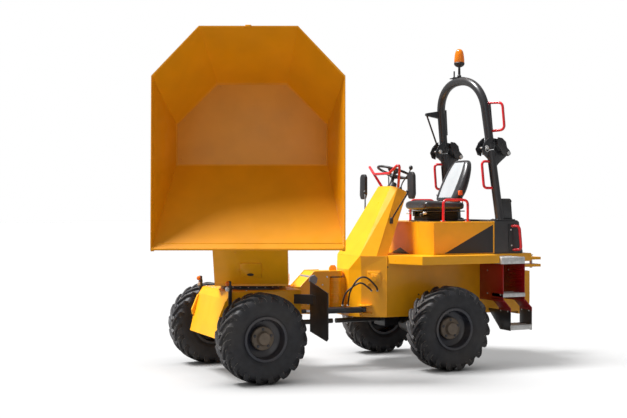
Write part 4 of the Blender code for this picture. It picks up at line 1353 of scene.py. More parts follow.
        low = [Vector((x, y, on_top(x) - 0.004)) for x, y in outline]
        high = [Vector((x * 0.98 - 0.0155, y * 0.97, on_top(x) + 0.008)) for x, y in outline]
        dark.rings([low, high])
        dark.lathe(
            (-0.770, 0, 1.838), (-0.325, 0, 0.946),
            [
                (0, -0.01), (0.060, -0.01), (0.052, 0.016), (0.040, 0.030), (0.036, 0.058), (0.024, 0.066),
                (0, 0.066)
            ],
            28
        )
        for side, reach in ((1, 0.235), (-1, 0.225)):
            path = curve_through(
                [
                    (-0.80, side * 0.13, 1.825), (-0.815, side * 0.155, 1.90),
                    (-0.845, side * (reach - 0.01), 1.985), (-0.862, side * reach, 2.035)
                ],
                14
            )
            dark.tube(path, 0.007, 12)
            dark.ball((-0.866, side * (reach + 0.002), 2.05), 0.021, 1.15)
            dark.lathe(
                (-0.80, side * 0.13, 1.815), (0, side * 0.3, 1),
                [(0, 0), (0.024, 0), (0.016, 0.016), (0.012, 0.034), (0, 0.034)], 16
            )
        for y in (-0.10, -0.055, 0.055, 0.10):
            dark.block(
                (-0.812, y - 0.013, on_top(-0.80) + 0.002), (-0.786, y + 0.013, on_top(-0.80) + 0.020),
                0.004
            )
        shop.piece("console_controls", dark, "black_plastic", Body.REAR)

    def cover(self, shop: Workshop) -> None:
        """Makes the rear cover, its backing strips, louvres and red handles."""
        body, strips, handles, spots = Shape(), Shape(), Shape(), []
        levels = ((DECK_TOP, -2.063), (COVER_TOP - 0.02, -2.015), (COVER_TOP, -1.998))
        rings = []
        for z, back in levels:
            inset = 0.012 if z == COVER_TOP else 0.0
            rings.append(
                [
                    (-1.6855, 0.56 - inset, z), (back + 0.03, 0.56 - inset, z), (back, 0.53 - inset, z),
                    (back, -0.53 + inset, z), (back + 0.03, -0.56 + inset, z), (-1.6855, -0.56 + inset, z)
                ]
            )
        body.rings(rings)
        for i in range(7):
            z = 1.21 + 0.036 * i
            back = -2.063 + (z - DECK_TOP) * 0.137
            body.prism(
                "Y",
                [
                    (back + 0.004, z), (back - 0.010, z - 0.004), (back - 0.010, z + 0.004),
                    (back + 0.004, z + 0.018)
                ],
                -0.30, 0.30, 0.001
            )
        for side, _ in SIDES:
            low, high = sorted((side * 0.559, side * 0.5665))
            strips.prism(
                "Y", [(-1.865, 1.17), (-1.925, 1.17), (-1.915, 1.46), (-1.855, 1.46)], low, high, 0.002
            )
            path = [
                (-1.895, side * 0.555, 1.44), (-1.955, side * 0.6225, 1.44), (-1.98, side * 0.6225, 1.19),
                (-1.915, side * 0.555, 1.19)
            ]
            handles.tube(rounded(path, 0.042), self.handle)
            spots += [
                ((-1.888, side * 0.5665, 1.40), (0, side, 0)),
                ((-1.896, side * 0.5665, 1.235), (0, side, 0))
            ]
        shop.piece("engine_cover", body, "dark_paint", Body.REAR, ["rear_cover"])
        shop.piece("cover_strips", strips, "black_plastic", Body.REAR)
        shop.piece("cover_handles", handles, "red_paint", Body.REAR)
        shop.bolts("cover_bolts", spots, Body.REAR, "zinc", True)

    @staticmethod
    def hoses(shop: Workshop) -> None:
        """Makes the two steering hoses with their fittings, on the CAD's routes."""
        routes = {
            "outer": (
                (-0.405, 0.366, 0.79), (-0.355, 0.43, 0.84), (-0.25, 0.435, 0.93), (-0.16, 0.425, 0.92),
                (-0.10, 0.37, 0.80), (-0.10, 0.32, 0.69), (-0.105, 0.302, 0.646)
            ),
            "inner": (
                (-0.352, 0.338, 0.79), (-0.302, 0.388, 0.82), (-0.222, 0.388, 0.872), (-0.16, 0.375, 0.862),
                (-0.07, 0.335, 0.78), (-0.045, 0.31, 0.69), (-0.05, 0.292, 0.646)
            ),
        }
        for name, route in routes.items():
            path = curve_through(route, 40)
            hose = Shape().tube(path, 0.009, 16)
            fittings = Shape()
            fittings.rod(path[0], path[0].lerp(path[2], 0.95), 0.0125, 6)
            fittings.rod(path[-1], path[-1].lerp(path[-3], 0.95), 0.0125, 6)
            line = shop.piece(
                f"steering_hose_line_{name}", hose, "hose_rubber", Body.REAR,
                [f"steering_hose_{name}"]
            )
            ends = shop.piece(f"hose_fittings_{name}", fittings, "zinc", Body.REAR)
            route = [VEHICLE @ point for point in path]


# ---- controls, mirrors and steps -----------------------------------------------------------------


@dataclass
class Helm:
    """The steering wheel, with its padded rim, spokes and spinner knob."""

    hub: Vector = field(default_factory=lambda: Vector((-0.785, 0.0, 1.952)))
    axis: Vector = field(default_factory=lambda: Vector((-0.325, 0.0, 0.946)).normalized())
    ring: float = 0.185

    def build(self, shop: Workshop) -> None:
        """Makes the steering wheel."""
        centre = self.hub + self.axis * 0.06
        across = Vector((0, 1, 0))
        other = self.axis.cross(across)
        shape = Shape()
        rings = []
        for i in range(56):
            a = 2 * math.pi * i / 56
            out = math.cos(a) * across + math.sin(a) * other
            grip = 0.0130 + 0.0006 * math.cos(14 * a)
            rings.append([centre + self.ring * out + grip * (math.cos(b) * out + math.sin(b) * self.axis)
                          for b in [2 * math.pi * j / 14 for j in range(14)]])
        shape.rings(rings, joined=True)
        shape.lathe(
            self.hub, self.axis,
            [
                (0, -0.09), (0.018, -0.09), (0.018, -0.006), (0.036, -0.004), (0.040, 0.004),
                (0.036, 0.028), (0.024, 0.034), (0, 0.036)
            ],
            28
        )
        for turn in (90, 210, 330):
            a = math.radians(turn)
            out = math.cos(a) * across + math.sin(a) * other
            path = curve_through(
                [
                    self.hub + self.axis * 0.010 + out * 0.02, self.hub + self.axis * 0.018 + out * 0.08,
                    centre + out * (self.ring - 0.005)
                ],
                12
            )
            shape.tube(path, 0.010, 12, squash=0.6)
        a = math.radians(150)
        out = math.cos(a) * across + math.sin(a) * other
        foot = centre + self.ring * out
        shape.rod(foot, foot + self.axis * 0.028, 0.008, 14)
        shape.lathe(
            foot, self.axis,
            [(0, 0.022), (0.018, 0.024), (0.024, 0.036), (0.022, 0.050), (0.012, 0.058), (0, 0.060)], 20
        )
        shop.piece(
            "steering_wheel_rim", shape, "black_plastic", Body.HELM, ["steering_wheel"]
        )


@dataclass
class Fittings:
    """The guard rail, mirrors, seat handles and steps."""

    handle: float = 0.014

    def build(self, shop: Workshop) -> None:
        """Makes them all."""
        self.rail(shop)
        self.mirrors(shop)
        self.seat_handles(shop)
        self.steps(shop)

    def rail(self, shop: Workshop) -> None:
        """Makes the red rail in front of the steering wheel."""
        half = [(-0.748, 0.178, 1.849), (-0.67, 0.36, 2.10), (-0.645, 0.17, 1.99)]
        points = half + [(x, -y, z) for x, y, z in reversed(half)]
        shop.piece(
            "guard_rail_bar", Shape().tube(rounded(points, 0.05), self.handle), "red_paint", Body.REAR,
            ["guard_rail"]
        )

    @staticmethod
    def mirrors(shop: Workshop) -> None:
        """Makes each mirror: bent arm, foot, ball, housing and glass."""
        for side, name in SIDES:
            arm = Shape()
            path = [(-0.615, side * 0.276, 1.50), (-0.615, side * 0.325, 1.55), (-0.70, side * 0.49, 1.80)]
            arm.tube(rounded(path, 0.05), 0.0085, 14)
            arm.ball((-0.695, side * 0.485, 1.80), 0.021)
            arm.rod((-0.615, side * 0.274, 1.47), (-0.615, side * 0.284, 1.53), 0.018, 16, 0.003)
            outline = [
                (0.472, 1.775), (0.50, 1.724), (0.58, 1.722), (0.607, 1.765), (0.598, 1.97), (0.57, 1.998),
                (0.495, 1.998), (0.472, 1.97)
            ]
            arm.prism("X", [(side * y, z) for y, z in outline], -0.722, -0.687, 0.012)
            glass = [(0.54 + (y - 0.54) * 0.84, 1.86 + (z - 1.86) * 0.90) for y, z in outline]
            shop.piece(
                f"mirror_body_{name}", arm, "black_plastic", Body.REAR, [f"mirror_{name}"]
            )
            face = Shape().prism("X", [(side * y, z) for y, z in glass], -0.7245, -0.7215, 0.0008)
            shop.piece(f"mirror_face_{name}", face, "mirror_glass", Body.REAR)

    def seat_handles(self, shop: Workshop) -> None:
        """Makes the red hoop beside each side of the seat."""
        for side, name in SIDES:
            y = side * 0.35
            path = [(-1.19, y, 1.486), (-1.19, y, 1.714), (-1.49, y, 1.714), (-1.49, y, 1.486)]
            shape = Shape().tube(rounded(path, 0.055), self.handle)
            for x in (-1.19, -1.49):
                shape.block((x - 0.03, y - 0.022, 1.4855), (x + 0.03, y + 0.022, 1.4915), 0.002)
            shop.piece(f"seat_rail_{name}", shape, "red_paint", Body.REAR, [f"seat_handle_{name}"])
            spots = [((x + dx, y, 1.4915), (0, 0, 1)) for x in (-1.19, -1.49) for dx in (-0.021, 0.021)]
            shop.bolts(f"seat_rail_bolts_{name}", spots, Body.REAR, "zinc", True)

    @staticmethod
    def steps(shop: Workshop) -> None:
        """Makes the steps on each side: folded plates, lower hangers painted black as shade, and toothed
        treads.
        """
        plate = 0.008
        for side, name in SIDES:
            red, black, tread, spots = Shape(), Shape(), Shape(), []
            for x in (-1.60, -1.86):
                low, high = sorted((side * 0.4105, side * 0.845))
                red.block((x - plate, low, 0.67), (x, high, 1.061), 0.002)
                low, high = sorted((side * 0.63, side * 0.845))
                fold = [
                    (x, 0.70), (x - plate, 0.695), (x - 0.09 - plate, 0.602), (x - 0.09 - plate, 0.56),
                    (x - 0.09, 0.56), (x - 0.09, 0.598), (x, 0.69)
                ]
                red.prism("Y", fold, low, high, 0.001)
                # Painted shade: the lower hangers are made black where the folded plates run down into shade
                # under the deck.
                inner = 0.44 if x > -1.7 else 0.632
                hanger = [
                    (0.843, 0.37), (0.66 if x > -1.7 else 0.632, 0.37), (inner, 0.56), (inner, 0.575),
                    (0.843, 0.575)
                ]
                black.prism("X", [(side * y, z) for y, z in hanger], x - 0.0905 - plate, x - 0.0895, 0.002)
                spots += [((x - 0.0895, side * y, 0.567), (1, 0, 0)) for y in (0.67, 0.80)]
                spots += [
                    ((x, side * y, z), (1, 0, 0)) for y, z in ((0.56, 0.74), (0.80, 0.74), (0.56, 0.98))
                ]
            low, high = sorted((side * 0.52, side * 0.80))
            for i in range(5):
                z = 0.80 + 0.047 * i
                red.block(
                    (-1.8605, low + 0.012 * i * (side > 0), z),
                    (-1.853, high - 0.012 * i * (side < 0), z + 0.016), 0.003
                )
            for x0, x1, z0, z1, inner in (
                (-1.865, -1.58, 1.057, 1.130, 0.611), (-1.87, -1.60, 0.717, 0.760, 0.641),
                (-1.955, -1.69, 0.377, 0.430, 0.641)
            ):
                low, high = sorted((side * inner, side * 0.849))
                tread.block((x0, low, z0), (x1, high, z1 - 0.006), 0.002)
                count = 15
                tooth = (x1 - x0 - 0.01) / count
                for i in range(count):
                    start = x0 + 0.005 + i * tooth
                    for y in (low + 0.004, high - 0.010, (low + high) / 2 - 0.003):
                        tread.prism(
                            "Y",
                            [
                                (start, z1 - 0.007), (start + tooth * 0.86, z1 - 0.007),
                                (start + tooth * 0.62, z1), (start + tooth * 0.24, z1)
                            ],
                            y, y + 0.006
                        )
            shop.piece(f"step_plates_{name}", red, "dark_red_paint", Body.REAR, [f"steps_{name}"])
            shop.piece(f"step_hangers_{name}", black, "black_steel", Body.REAR)
            shop.piece(f"step_treads_{name}", tread, "zinc", Body.REAR)
            shop.bolts(f"step_bolts_{name}", spots, Body.REAR, "zinc", True)


# ---- seat ----------------------------------------------------------------------------------------


@dataclass
class Seat:
    """The driver's seat: crowned cushion and back with sewn channels, bellows and base."""

    half: float = 0.238
    columns: int = 40

    def cushion_rings(self) -> list[list[Vector]]:
        """The cushion's sections from front to rear, each a closed ring across the seat."""
        stations = [  # X, lowest and highest Z, half width as a share
            (-1.046, 1.648, 1.672, 0.78), (-1.052, 1.622, 1.694, 0.90), (-1.070, 1.608, 1.708, 0.965),
            (-1.11, 1.603, 1.7135, 0.99), (-1.20, 1.602, 1.712, 1.0), (-1.30, 1.602, 1.706, 1.0),
            (-1.38, 1.602, 1.702, 0.99), (-1.46, 1.602, 1.700, 0.97),
            (-1.52, 1.606, 1.697, 0.93), (-1.545, 1.622, 1.685, 0.86)]
        rings = []
        for x, low, high, share in stations:
            width = self.half * share
            ring = []
            for i in range(self.columns):
                a = 2 * math.pi * (i + 0.5) / self.columns
                across = math.copysign(abs(math.cos(a)) ** 0.42, math.cos(a))
                up = math.copysign(abs(math.sin(a)) ** 0.62, math.sin(a))
                z = (low + high) / 2 + (high - low) / 2 * up
                if up > 0.3:
                    groove = math.exp(-((abs(across) - 0.60) / 0.055) ** 2)
                    z -= 0.009 * groove + 0.004 * (1 - abs(across) / 0.6) * (abs(across) < 0.6)
                ring.append(Vector((x, across * width, z)))
            rings.append(ring)
        return rings

    def back_rings(self) -> list[list[Vector]]:
        """The back's sections from low to high, each a closed ring round it."""
        stations = [  # Z, front X, rear X, half width
            (1.703, -1.402, -1.500, 0.150), (1.712, -1.396, -1.528, 0.190), (1.735, -1.402, -1.548, 0.212),
            (1.80, -1.432, -1.585, 0.226), (1.88, -1.470, -1.612, 0.228), (1.96, -1.508, -1.636, 0.220),
            (2.03, -1.543, -1.657, 0.203), (2.09, -1.573, -1.673, 0.176),
            (2.125, -1.593, -1.679, 0.150), (2.143, -1.612, -1.676, 0.118), (2.148, -1.630, -1.666, 0.080)]
        rings = []
        for z, front, rear, width in stations:
            ring = []
            for i in range(self.columns):
                a = 2 * math.pi * (i + 0.5) / self.columns
                across = math.copysign(abs(math.cos(a)) ** 0.5, math.cos(a))
                out = math.copysign(abs(math.sin(a)) ** 0.7, math.sin(a))
                x = (front + rear) / 2 + (front - rear) / 2 * out
                if out > 0.2:
                    groove = math.exp(-((abs(across) - 0.62) / 0.06) ** 2)
                    x -= 0.012 * groove + 0.006 * max(0.0, 1 - abs(across) / 0.55)
                ring.append(Vector((x, across * width, z)))
            rings.append(ring)
        return rings

    @staticmethod
    def pad(rings: list[list[Vector]], way: int, inner: float, first: int, last: int) -> Shape:
        """A crowned pad with a middle panel in the second finish.

        Args:
            rings: its sections.
            way: the axis that the panel faces, 0 for X or 2 for Z.
            inner: half the panel's width, as a share of the section's.
            first: the section where the panel starts.
            last: the section where it ends.

        Returns:
            The shape.
        """
        shape = Shape().rings(rings)
        shape.bm.faces.ensure_lookup_table()
        columns = len(rings[0])
        for k in range(first, last):
            half = max(p.y for p in rings[k])
            middle = sum(p[way] for p in rings[k]) / columns
            for i in range(columns):
                ends = (rings[k][i], rings[k][(i + 1) % columns])
                if all(abs(p.y) < inner * half and p[way] > middle for p in ends):
                    shape.bm.faces[k * columns + i].material_index = 1
        return shape

    def soft(self, shop: Workshop, name: str, shape: Shape, finishes: Sequence[str], replaces: str) -> None:
        """Subdivides a pad and puts it on the rear half."""
        pad = shop.piece(name, shape, finishes, Body.REAR, [replaces])
        smooth = pad.modifiers.new("crown", "SUBSURF")
        smooth.levels = smooth.render_levels = 2
        pad.data.shade_smooth()

    def build(self, shop: Workshop) -> None:
        """Makes the whole seat."""
        self.soft(shop, "seat_pad", self.pad(self.cushion_rings(), 2, 0.0, 0, 0), ["vinyl"], "seat_cushion")
        self.soft(
            shop, "seat_back_pad", self.pad(self.back_rings(), 0, 0.66, 2, 8), ["vinyl", "vinyl_panel"],
            "seat_back"
        )
        bellows = Shape()
        rings = []
        for i in range(13):
            share = i / 12
            out = 0.0 if i % 2 else 0.012
            z = 1.497 + 0.095 * share
            half_x, half_y = 0.198 - 0.006 * share + out, 0.178 - 0.006 * share + out
            ring = []
            for k in range(32):
                a = 2 * math.pi * (k + 0.5) / 32
                ring.append(
                    (
                        -1.31 + half_x * math.copysign(abs(math.cos(a)) ** 0.35, math.cos(a)),
                        half_y * math.copysign(abs(math.sin(a)) ** 0.35, math.sin(a)), z
                    )
                )
            rings.append(ring)
        bellows.rings(rings)
        shop.piece(
            "seat_bellows", bellows, "bellows_rubber", Body.REAR, ["seat_suspension"]
        )
        frame = Shape()
        frame.block((-1.53, -0.20, 1.4855), (-1.09, 0.20, 1.4975), 0.004)
        frame.block((-1.54, -0.215, 1.590), (-1.085, 0.215, 1.6015), 0.004)
        frame.block((-1.105, -0.12, 1.540), (-1.085, -0.07, 1.590), 0.004)
        frame.rod((-1.10, 0.09, 1.555), (-1.062, 0.09, 1.555), 0.019, 24, 0.004)
        shop.piece("seat_base", frame, "black_steel", Body.REAR)
        knob = Shape().rod((-1.085, 0.175, 1.575), (-1.050, 0.175, 1.575), 0.016, 20, 0.004)
        knob.block((-1.080, -0.20, 1.562), (-1.052, -0.13, 1.576), 0.003)
        shop.piece("seat_adjusters", knob, "zinc", Body.REAR)
        for side, name in SIDES:
            belt = Shape()
            belt.tube(
                curve_through(
                    [
                        (-1.50, side * 0.232, 1.66), (-1.485, side * 0.252, 1.72),
                        (-1.465, side * 0.248, 1.775)
                    ],
                    10
                ),
                0.018, 10, squash=0.2
            )
            shop.piece(f"belt_stalk_{name}", belt, "black_plastic", Body.REAR)
        buckle = Shape().block((-1.482, 0.232, 1.765), (-1.440, 0.262, 1.815), 0.006)
        shop.piece("belt_buckle", buckle, "orange_plastic", Body.REAR)


# ---- roll-over hoop ------------------------------------------------------------------------------


@dataclass
class RollOverHoop:
    """The folding hoop: fixed legs, hinge plates, the hoop, its handles, stay and beacon."""

    tube: float = 0.045
    handle: float = 0.014
    foot: Vector = field(default_factory=lambda: Vector((-1.782, 0.511, COVER_TOP + 0.0065)))
    top: Vector = field(default_factory=lambda: Vector((-1.696, 0.472, 2.24)))
    shoulder: Vector = field(default_factory=lambda: Vector((-1.648, 0.449, 2.64)))
    crown: Vector = field(default_factory=lambda: Vector((-1.60, 0.0, 3.005)))

    def build(self, shop: Workshop) -> None:
        """Makes the legs, hoop and beacon."""
        for side, name in SIDES:
            self.leg(shop, side, name)
        self.hoop(shop)
        self.beacon(shop)

    def leg(self, shop: Workshop, side: int, name: str) -> None:
        """Makes one fixed leg with its lugs, gusset, foot, strip and handle.

        Args:
            shop: the workshop.
            side: 1 on the left, -1 on the right.
            name: the side's name.
        """

        def at(x: float, y: float, z: float) -> Vector:
            """A place on this side."""
            return Vector((x, side * y, z))

        leg, strip, grip = Shape(), Shape(), Shape()
        leg.rod(at(*self.foot), at(*self.top), self.tube, 32, 0.001)
        y = side * self.top.y
        lug = [
            (-1.66, 2.17), (-1.66, 2.238), (-1.85, 2.238), (-1.885, 2.236), (-1.902, 2.222),
            (-1.907, 2.208), (-1.900, 2.190), (-1.885, 2.178), (-1.79, 2.10), (-1.72, 2.02)
        ]
        leg.prism("Y", lug, y - 0.012, y + 0.012, 0.002)
        leg.prism(
            "Y", [(-1.68, 2.13), (-1.60, 2.20), (-1.585, 2.238), (-1.68, 2.238)], y - 0.012, y + 0.012,
            0.002
        )
        foot = side * 0.511
        gusset = [
            (-1.78, 1.502), (-1.94, 1.502), (-1.934, 1.57), (-1.922, 1.715), (-1.912, 1.728),
            (-1.895, 1.73), (-1.77, 1.73)
        ]
        leg.prism("Y", gusset, foot - 0.006, foot + 0.006, 0.002)
        low, high = sorted((side * 0.462, side * 0.556))
        leg.block((-1.95, low, 1.5005), (-1.70, high, 1.512), 0.003)
        leg.lathe(
            (-1.905, foot, 1.700), (0, 1, 0),
            [(0.010, -0.010), (0.021, -0.010), (0.021, 0.010), (0.010, 0.010)], 24
        )
        leg.lathe(
            (-1.877, y, 2.208), (0, 1, 0),
            [(0.0175, -0.016), (0.028, -0.016), (0.028, 0.016), (0.0175, 0.016)], 28
        )
        shop.piece(f"hoop_leg_{name}", leg, "black_steel", Body.REAR, [f"rops_leg_{name}"])
        down = (self.foot - self.top).normalized()
        strip_heights = (1.865, 2.095)
        low, high = (self.top + down * ((self.top.z - z) / -down.z) for z in strip_heights)
        front = Vector((self.tube - 0.002, 0, 0))
        strip.tube([at(*(low + front)), at(*(high + front))], 0.019, 4, squash=0.55)
        shop.piece(f"leg_strip_{name}", strip, "black_plastic", Body.REAR)
        handle = [
            at(-1.70, 0.478, 2.12), at(-1.575, 0.485, 2.12), at(-1.60, 0.49, 1.84), at(-1.735, 0.492, 1.84)
        ]
        grip.tube(rounded(handle, 0.045), self.handle)
        shop.piece(f"leg_handle_{name}", grip, "red_paint", Body.REAR)
        spots = [
            ((x, side * 0.50 + dy, 1.512), (0, 0, 1)) for x,
            dy in ((-1.93, 0.02), (-1.93, -0.02), (-1.72, 0.02), (-1.72, -0.02))
        ]
        shop.bolts(f"leg_foot_bolts_{name}", spots, Body.REAR, "black_steel", True)

    def hoop_path(self, steps: int) -> list[Vector]:
        """The hoop's centreline, from the left hinge over the top to the right one."""
        start = self.top.lerp(self.shoulder, 0.015)
        path = [start, start.lerp(self.shoulder, 0.5)]
        for i in range(steps + 1):
            a = math.pi * i / steps
            y = self.shoulder.y * math.copysign(abs(math.cos(a)) ** 0.9, math.cos(a))
            rise = math.sin(a) ** 0.9 if 0 < i < steps else 0.0
            path.append(Vector((self.shoulder.x + (self.crown.x - self.shoulder.x) * rise, y,
                                self.shoulder.z + (self.crown.z - self.shoulder.z) * rise)))
        return [*path, Vector((path[1].x, -path[1].y, path[1].z)), Vector((start.x, -start.y, start.z))]

    def hoop(self, shop: Workshop) -> None:
        """Makes the folding part with its plates, pins, handles and stay."""
        frame, strips, grips, pins, spots = Shape(), Shape(), Shape(), Shape(), []
        frame.tube(self.hoop_path(44), self.tube, 28)
        for side, _ in SIDES:
            y = side * self.top.y
            rear_lobe = [
                (-1.87, 2.176), (-1.90, 2.19), (-1.909, 2.21), (-1.89, 2.24), (-1.86, 2.27), (-1.845, 2.33),
                (-1.80, 2.368), (-1.745, 2.375), (-1.742, 2.30), (-1.775, 2.255), (-1.80, 2.20)
            ]
            front_lobe = [(-1.655, 2.375), (-1.625, 2.36), (-1.58, 2.32), (-1.545, 2.25), (-1.57, 2.19),
                          (-1.615, 2.175), (-1.63, 2.24), (-1.65, 2.28)]
            for face in (0.056, -0.064):
                for lobe in (rear_lobe, front_lobe):
                    frame.prism("Y", lobe, y + face, y + face + 0.008, 0.0015)
            for x, z0, z1 in ((-1.752, 2.30, 2.36), (-1.648, 2.29, 2.345)):
                frame.block((x - 0.010, y - 0.058, z0), (x + 0.010, y + 0.058, z1), 0.002)
            frame.lathe((-1.692, side * 0.470, 2.272), (0.048, -side * 0.023, 0.40),
                        [(0.040, 0.0), (0.0535, 0.002), (0.0535, 0.030), (0.040, 0.032)], 32)
            for x, z in ((-1.877, 2.208), (-1.605, 2.262)):
                pins.rod((x, y - 0.072, z), (x, y + 0.072, z), 0.014 if x < -1.8 else 0.010, 20, 0.002)
                pins.rod((x, y + 0.064, z), (x, y + 0.073, z), 0.021, 24, 0.002)
            pins.tube(
                [
                    Vector((-1.605 + 0.022 * math.cos(t), y + side * 0.074, 2.240 + 0.022 * math.sin(t)))
                    for t in [2 * math.pi * k / 20 for k in range(21)]
                ],
                0.0025, 8
            )
            spots += [
                ((x, y + way * 0.0645, z), (0, way, 0)) for way in (1, -1) for x,
                z in ((-1.70, 2.31), (-1.80, 2.31), (-1.64, 2.20))
            ]
            grip = [
                (-1.665, side * 0.447, 2.74), (-1.755, side * 0.60, 2.735), (-1.78, side * 0.605, 2.45),
                (-1.69, side * 0.46, 2.44)
            ]
            grips.tube(rounded(grip, 0.055), self.handle)
            ends = [Vector((-1.700, side * 0.448, 2.735)), Vector((-1.722, side * 0.458, 2.45))]
            strips.tube(ends, 0.019, 4, squash=0.55)
        bracket = [(-1.64, 2.725), (-1.455, 2.693), (-1.445, 2.683), (-1.445, 2.663), (-1.66, 2.625)]
        frame.prism("Y", bracket, -0.475, -0.435, 0.003)
        frame.rod((-1.452, -0.45, 2.675), (-1.645, -0.533, 2.32), 0.0098, 16)
        shop.piece("hoop_frame", frame, "black_steel", Body.HOOP, ["rops_hoop"])
        shop.piece("hoop_strips", strips, "black_plastic", Body.HOOP)
        shop.piece("hoop_grips", grips, "red_paint", Body.HOOP)
        shop.piece("hoop_pins", pins, "zinc", Body.HOOP)
        shop.bolts("hoop_plate_bolts", spots, Body.HOOP, "black_steel", True)

    def beacon(self, shop: Workshop) -> None:
        """Makes the beacon: plate, stem, base and ribbed amber dome, and the spare pin beside it."""
        x, y = self.crown.x - 0.02, -0.03
        plate = self.crown.z + self.tube + 0.002
        foot = Shape()
        foot.block((x - 0.04, y - 0.13, plate - 0.004), (x + 0.045, y + 0.05, plate + 0.006), 0.002)
        foot.lathe(
            (x, y, 0), (0, 0, 1),
            [
                (0, plate), (0.022, plate), (0.022, plate + 0.024), (0.014, plate + 0.034), (0.0125, 3.165),
                (0.030, 3.172), (0.046, 3.182), (0.0565, 3.196), (0.0575, 3.214), (0.052, 3.222), (0, 3.222)
            ],
            36
        )
        foot.rod((x, y - 0.105, plate), (x, y - 0.105, plate + 0.085), 0.008, 14, 0.003)
        foot.rod((x, y - 0.105, plate + 0.006), (x, y - 0.105, plate + 0.020), 0.016, 6)
        shop.piece("beacon_foot", foot, "black_plastic", Body.HOOP)
        rings = []
        for radius, z in (
            (0.050, 3.214), (0.0545, 3.222), (0.0535, 3.250), (0.0505, 3.285), (0.0455, 3.318),
            (0.0375, 3.345), (0.024, 3.361), (0.008, 3.3665)
        ):
            ring = []
            for k in range(72):
                a = 2 * math.pi * k / 72
                r = radius * (1 + 0.018 * math.cos(24 * a))
                ring.append((x + r * math.cos(a), y + r * math.sin(a), z))
            rings.append(ring)
        shop.piece("beacon_dome", Shape().rings(rings), "amber_lens", Body.HOOP, ["beacon"])


# ---- stage ---------------------------------------------------------------------------------------


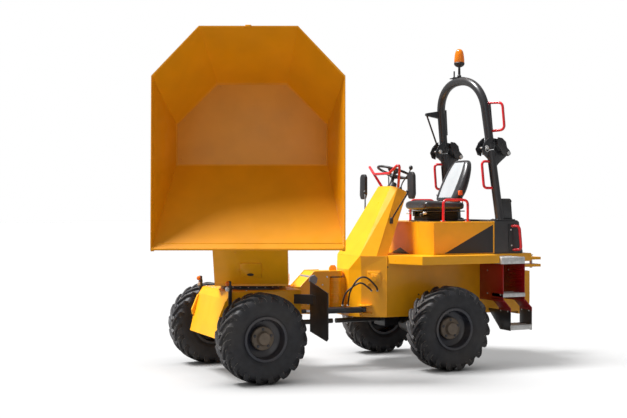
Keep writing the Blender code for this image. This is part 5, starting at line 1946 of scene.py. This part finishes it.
@dataclass
class Stage:
    """The floor, the light and the camera."""

    eye: Point = (5.0058, 9.9889, 1.667)
    gaze: Point = (-0.4096, -0.9123, -0.0042)
    lens: float = 62.34

    def build(self) -> None:
        """Makes the floor, world, lamps and camera."""
        self.floor()
        self.world()
        self.sun("key", (0.436, -0.180, 0.882), 22.0, 7.8)
        self.lamp("fill", (3.5, 9.5, 4.5), 6.0, 60.0)
        data = bpy.data.cameras.new("camera")
        data.lens, data.sensor_width, data.clip_end = self.lens, 36.0, 200.0
        camera = bpy.data.objects.new("camera", data)
        bpy.context.scene.collection.objects.link(camera)
        camera.location = self.eye
        camera.rotation_mode = "QUATERNION"
        camera.rotation_quaternion = Vector(self.gaze).to_track_quat("-Z", "Y")
        bpy.context.scene.camera = camera
        bpy.context.scene.view_settings.view_transform = "Standard"

    @staticmethod
    def floor() -> None:
        """Makes a white floor that keeps soft shadows, with painted contact shade (ambient occlusion on its
        white lift) darkest where something stands on it.
        """
        floor = bpy.data.objects.new(
            "floor", Shape().block((-90, -90, -0.02), (90, 90, -0.0005)).mesh("floor")
        )
        bpy.context.scene.collection.objects.link(floor)
        n = Nodes("floor")
        n.shader.inputs["Base Color"].default_value = (0.24, 0.24, 0.24, 1.0)
        n.shader.inputs["Roughness"].default_value = 1.0
        n.shader.inputs["Specular IOR Level"].default_value = 0.0
        ray = n.add("ShaderNodeLightPath").outputs["Is Camera Ray"]
        # Painted contact shade: ambient occlusion dims the floor's white lift near anything standing on it.
        painted_contact_shade = n.add("ShaderNodeAmbientOcclusion", {"Distance": 0.7}, samples=16).outputs["AO"]
        lift_with_painted_contact_shade = n.maths("MULTIPLY", n.maths("POWER", painted_contact_shade, 1.4), 0.44)
        lift = n.add(
            "ShaderNodeEmission",
            {"Color": (1.0, 1.0, 1.0), "Strength": n.maths("MULTIPLY", ray, lift_with_painted_contact_shade)}
        )
        both = n.add("ShaderNodeAddShader", {0: n.shader.outputs[0], 1: lift.outputs[0]})
        n.tree.links.new(both.outputs[0], n.tree.nodes["Material Output"].inputs[0])
        floor.data.materials.append(n.material)

    @staticmethod
    def world() -> None:
        """Makes a soft surrounding light that the camera sees as white."""
        world = bpy.data.worlds.new("studio")
        bpy.context.scene.world = world
        world.use_nodes = True
        tree = world.node_tree
        background = tree.nodes["Background"]
        background.inputs["Color"].default_value = (1.0, 1.0, 1.0, 1.0)
        path = tree.nodes.new("ShaderNodeLightPath")
        strength = tree.nodes.new("ShaderNodeMapRange")
        strength.inputs["To Min"].default_value = 0.30
        strength.inputs["To Max"].default_value = 1.0
        tree.links.new(path.outputs["Is Camera Ray"], strength.inputs["Value"])
        tree.links.new(strength.outputs[0], background.inputs["Strength"])

    @staticmethod
    def sun(name: str, way: Point, angle: float, strength: float) -> None:
        """Makes the main light.

        Args:
            name: the lamp's name.
            way: the direction towards it.
            angle: its width in degrees, for soft shadows.
            strength: in watts per square metre.
        """
        data = bpy.data.lights.new(name, "SUN")
        data.angle, data.energy = math.radians(angle), strength
        lamp = bpy.data.objects.new(name, data)
        bpy.context.scene.collection.objects.link(lamp)
        lamp.rotation_mode = "QUATERNION"
        lamp.rotation_quaternion = (-Vector(way)).to_track_quat("-Z", "Y")

    @staticmethod
    def lamp(name: str, place: Point, size: float, power: float) -> None:
        """Makes a square soft lamp that faces the machine.

        Args:
            name: the lamp's name.
            place: where it stands.
            size: the length of its sides.
            power: in watts.
        """
        data = bpy.data.lights.new(name, "AREA")
        data.size, data.energy = size, power
        lamp = bpy.data.objects.new(name, data)
        bpy.context.scene.collection.objects.link(lamp)
        lamp.location = place
        lamp.rotation_mode = "QUATERNION"
        lamp.rotation_quaternion = (Vector((0, 0, 1.3)) - Vector(place)).to_track_quat("-Z", "Y")


def main() -> None:
    """Builds every piece round the frame, then the stage."""
    logging.basicConfig(level=logging.INFO, format="%(message)s")
    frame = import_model()
    shop = Workshop(frame)
    for end in (1, -1):
        for side, _ in SIDES:
            Wheel(end, side).build(shop)
    Skip().build(shop)
    SkipSupport().build(shop)
    FrontHalf().build(shop)
    RearHalf().build(shop)
    base, eye = Vector((-0.27, 0.33, 0.60)), Vector((0.40, 0.215, 0.60))
    Ram(
        "steering", base, eye, 0.032, 0.016, 0.43, 0.022, Vector((0, 0, 1)), VEHICLE, Body.STEER_BARREL,
        Body.STEER_ROD
    ).build(shop)
    Helm().build(shop)
    Fittings().build(shop)
    Seat().build(shop)
    RollOverHoop().build(shop)
    Stage().build()


if __name__ == "__main__":
    main()
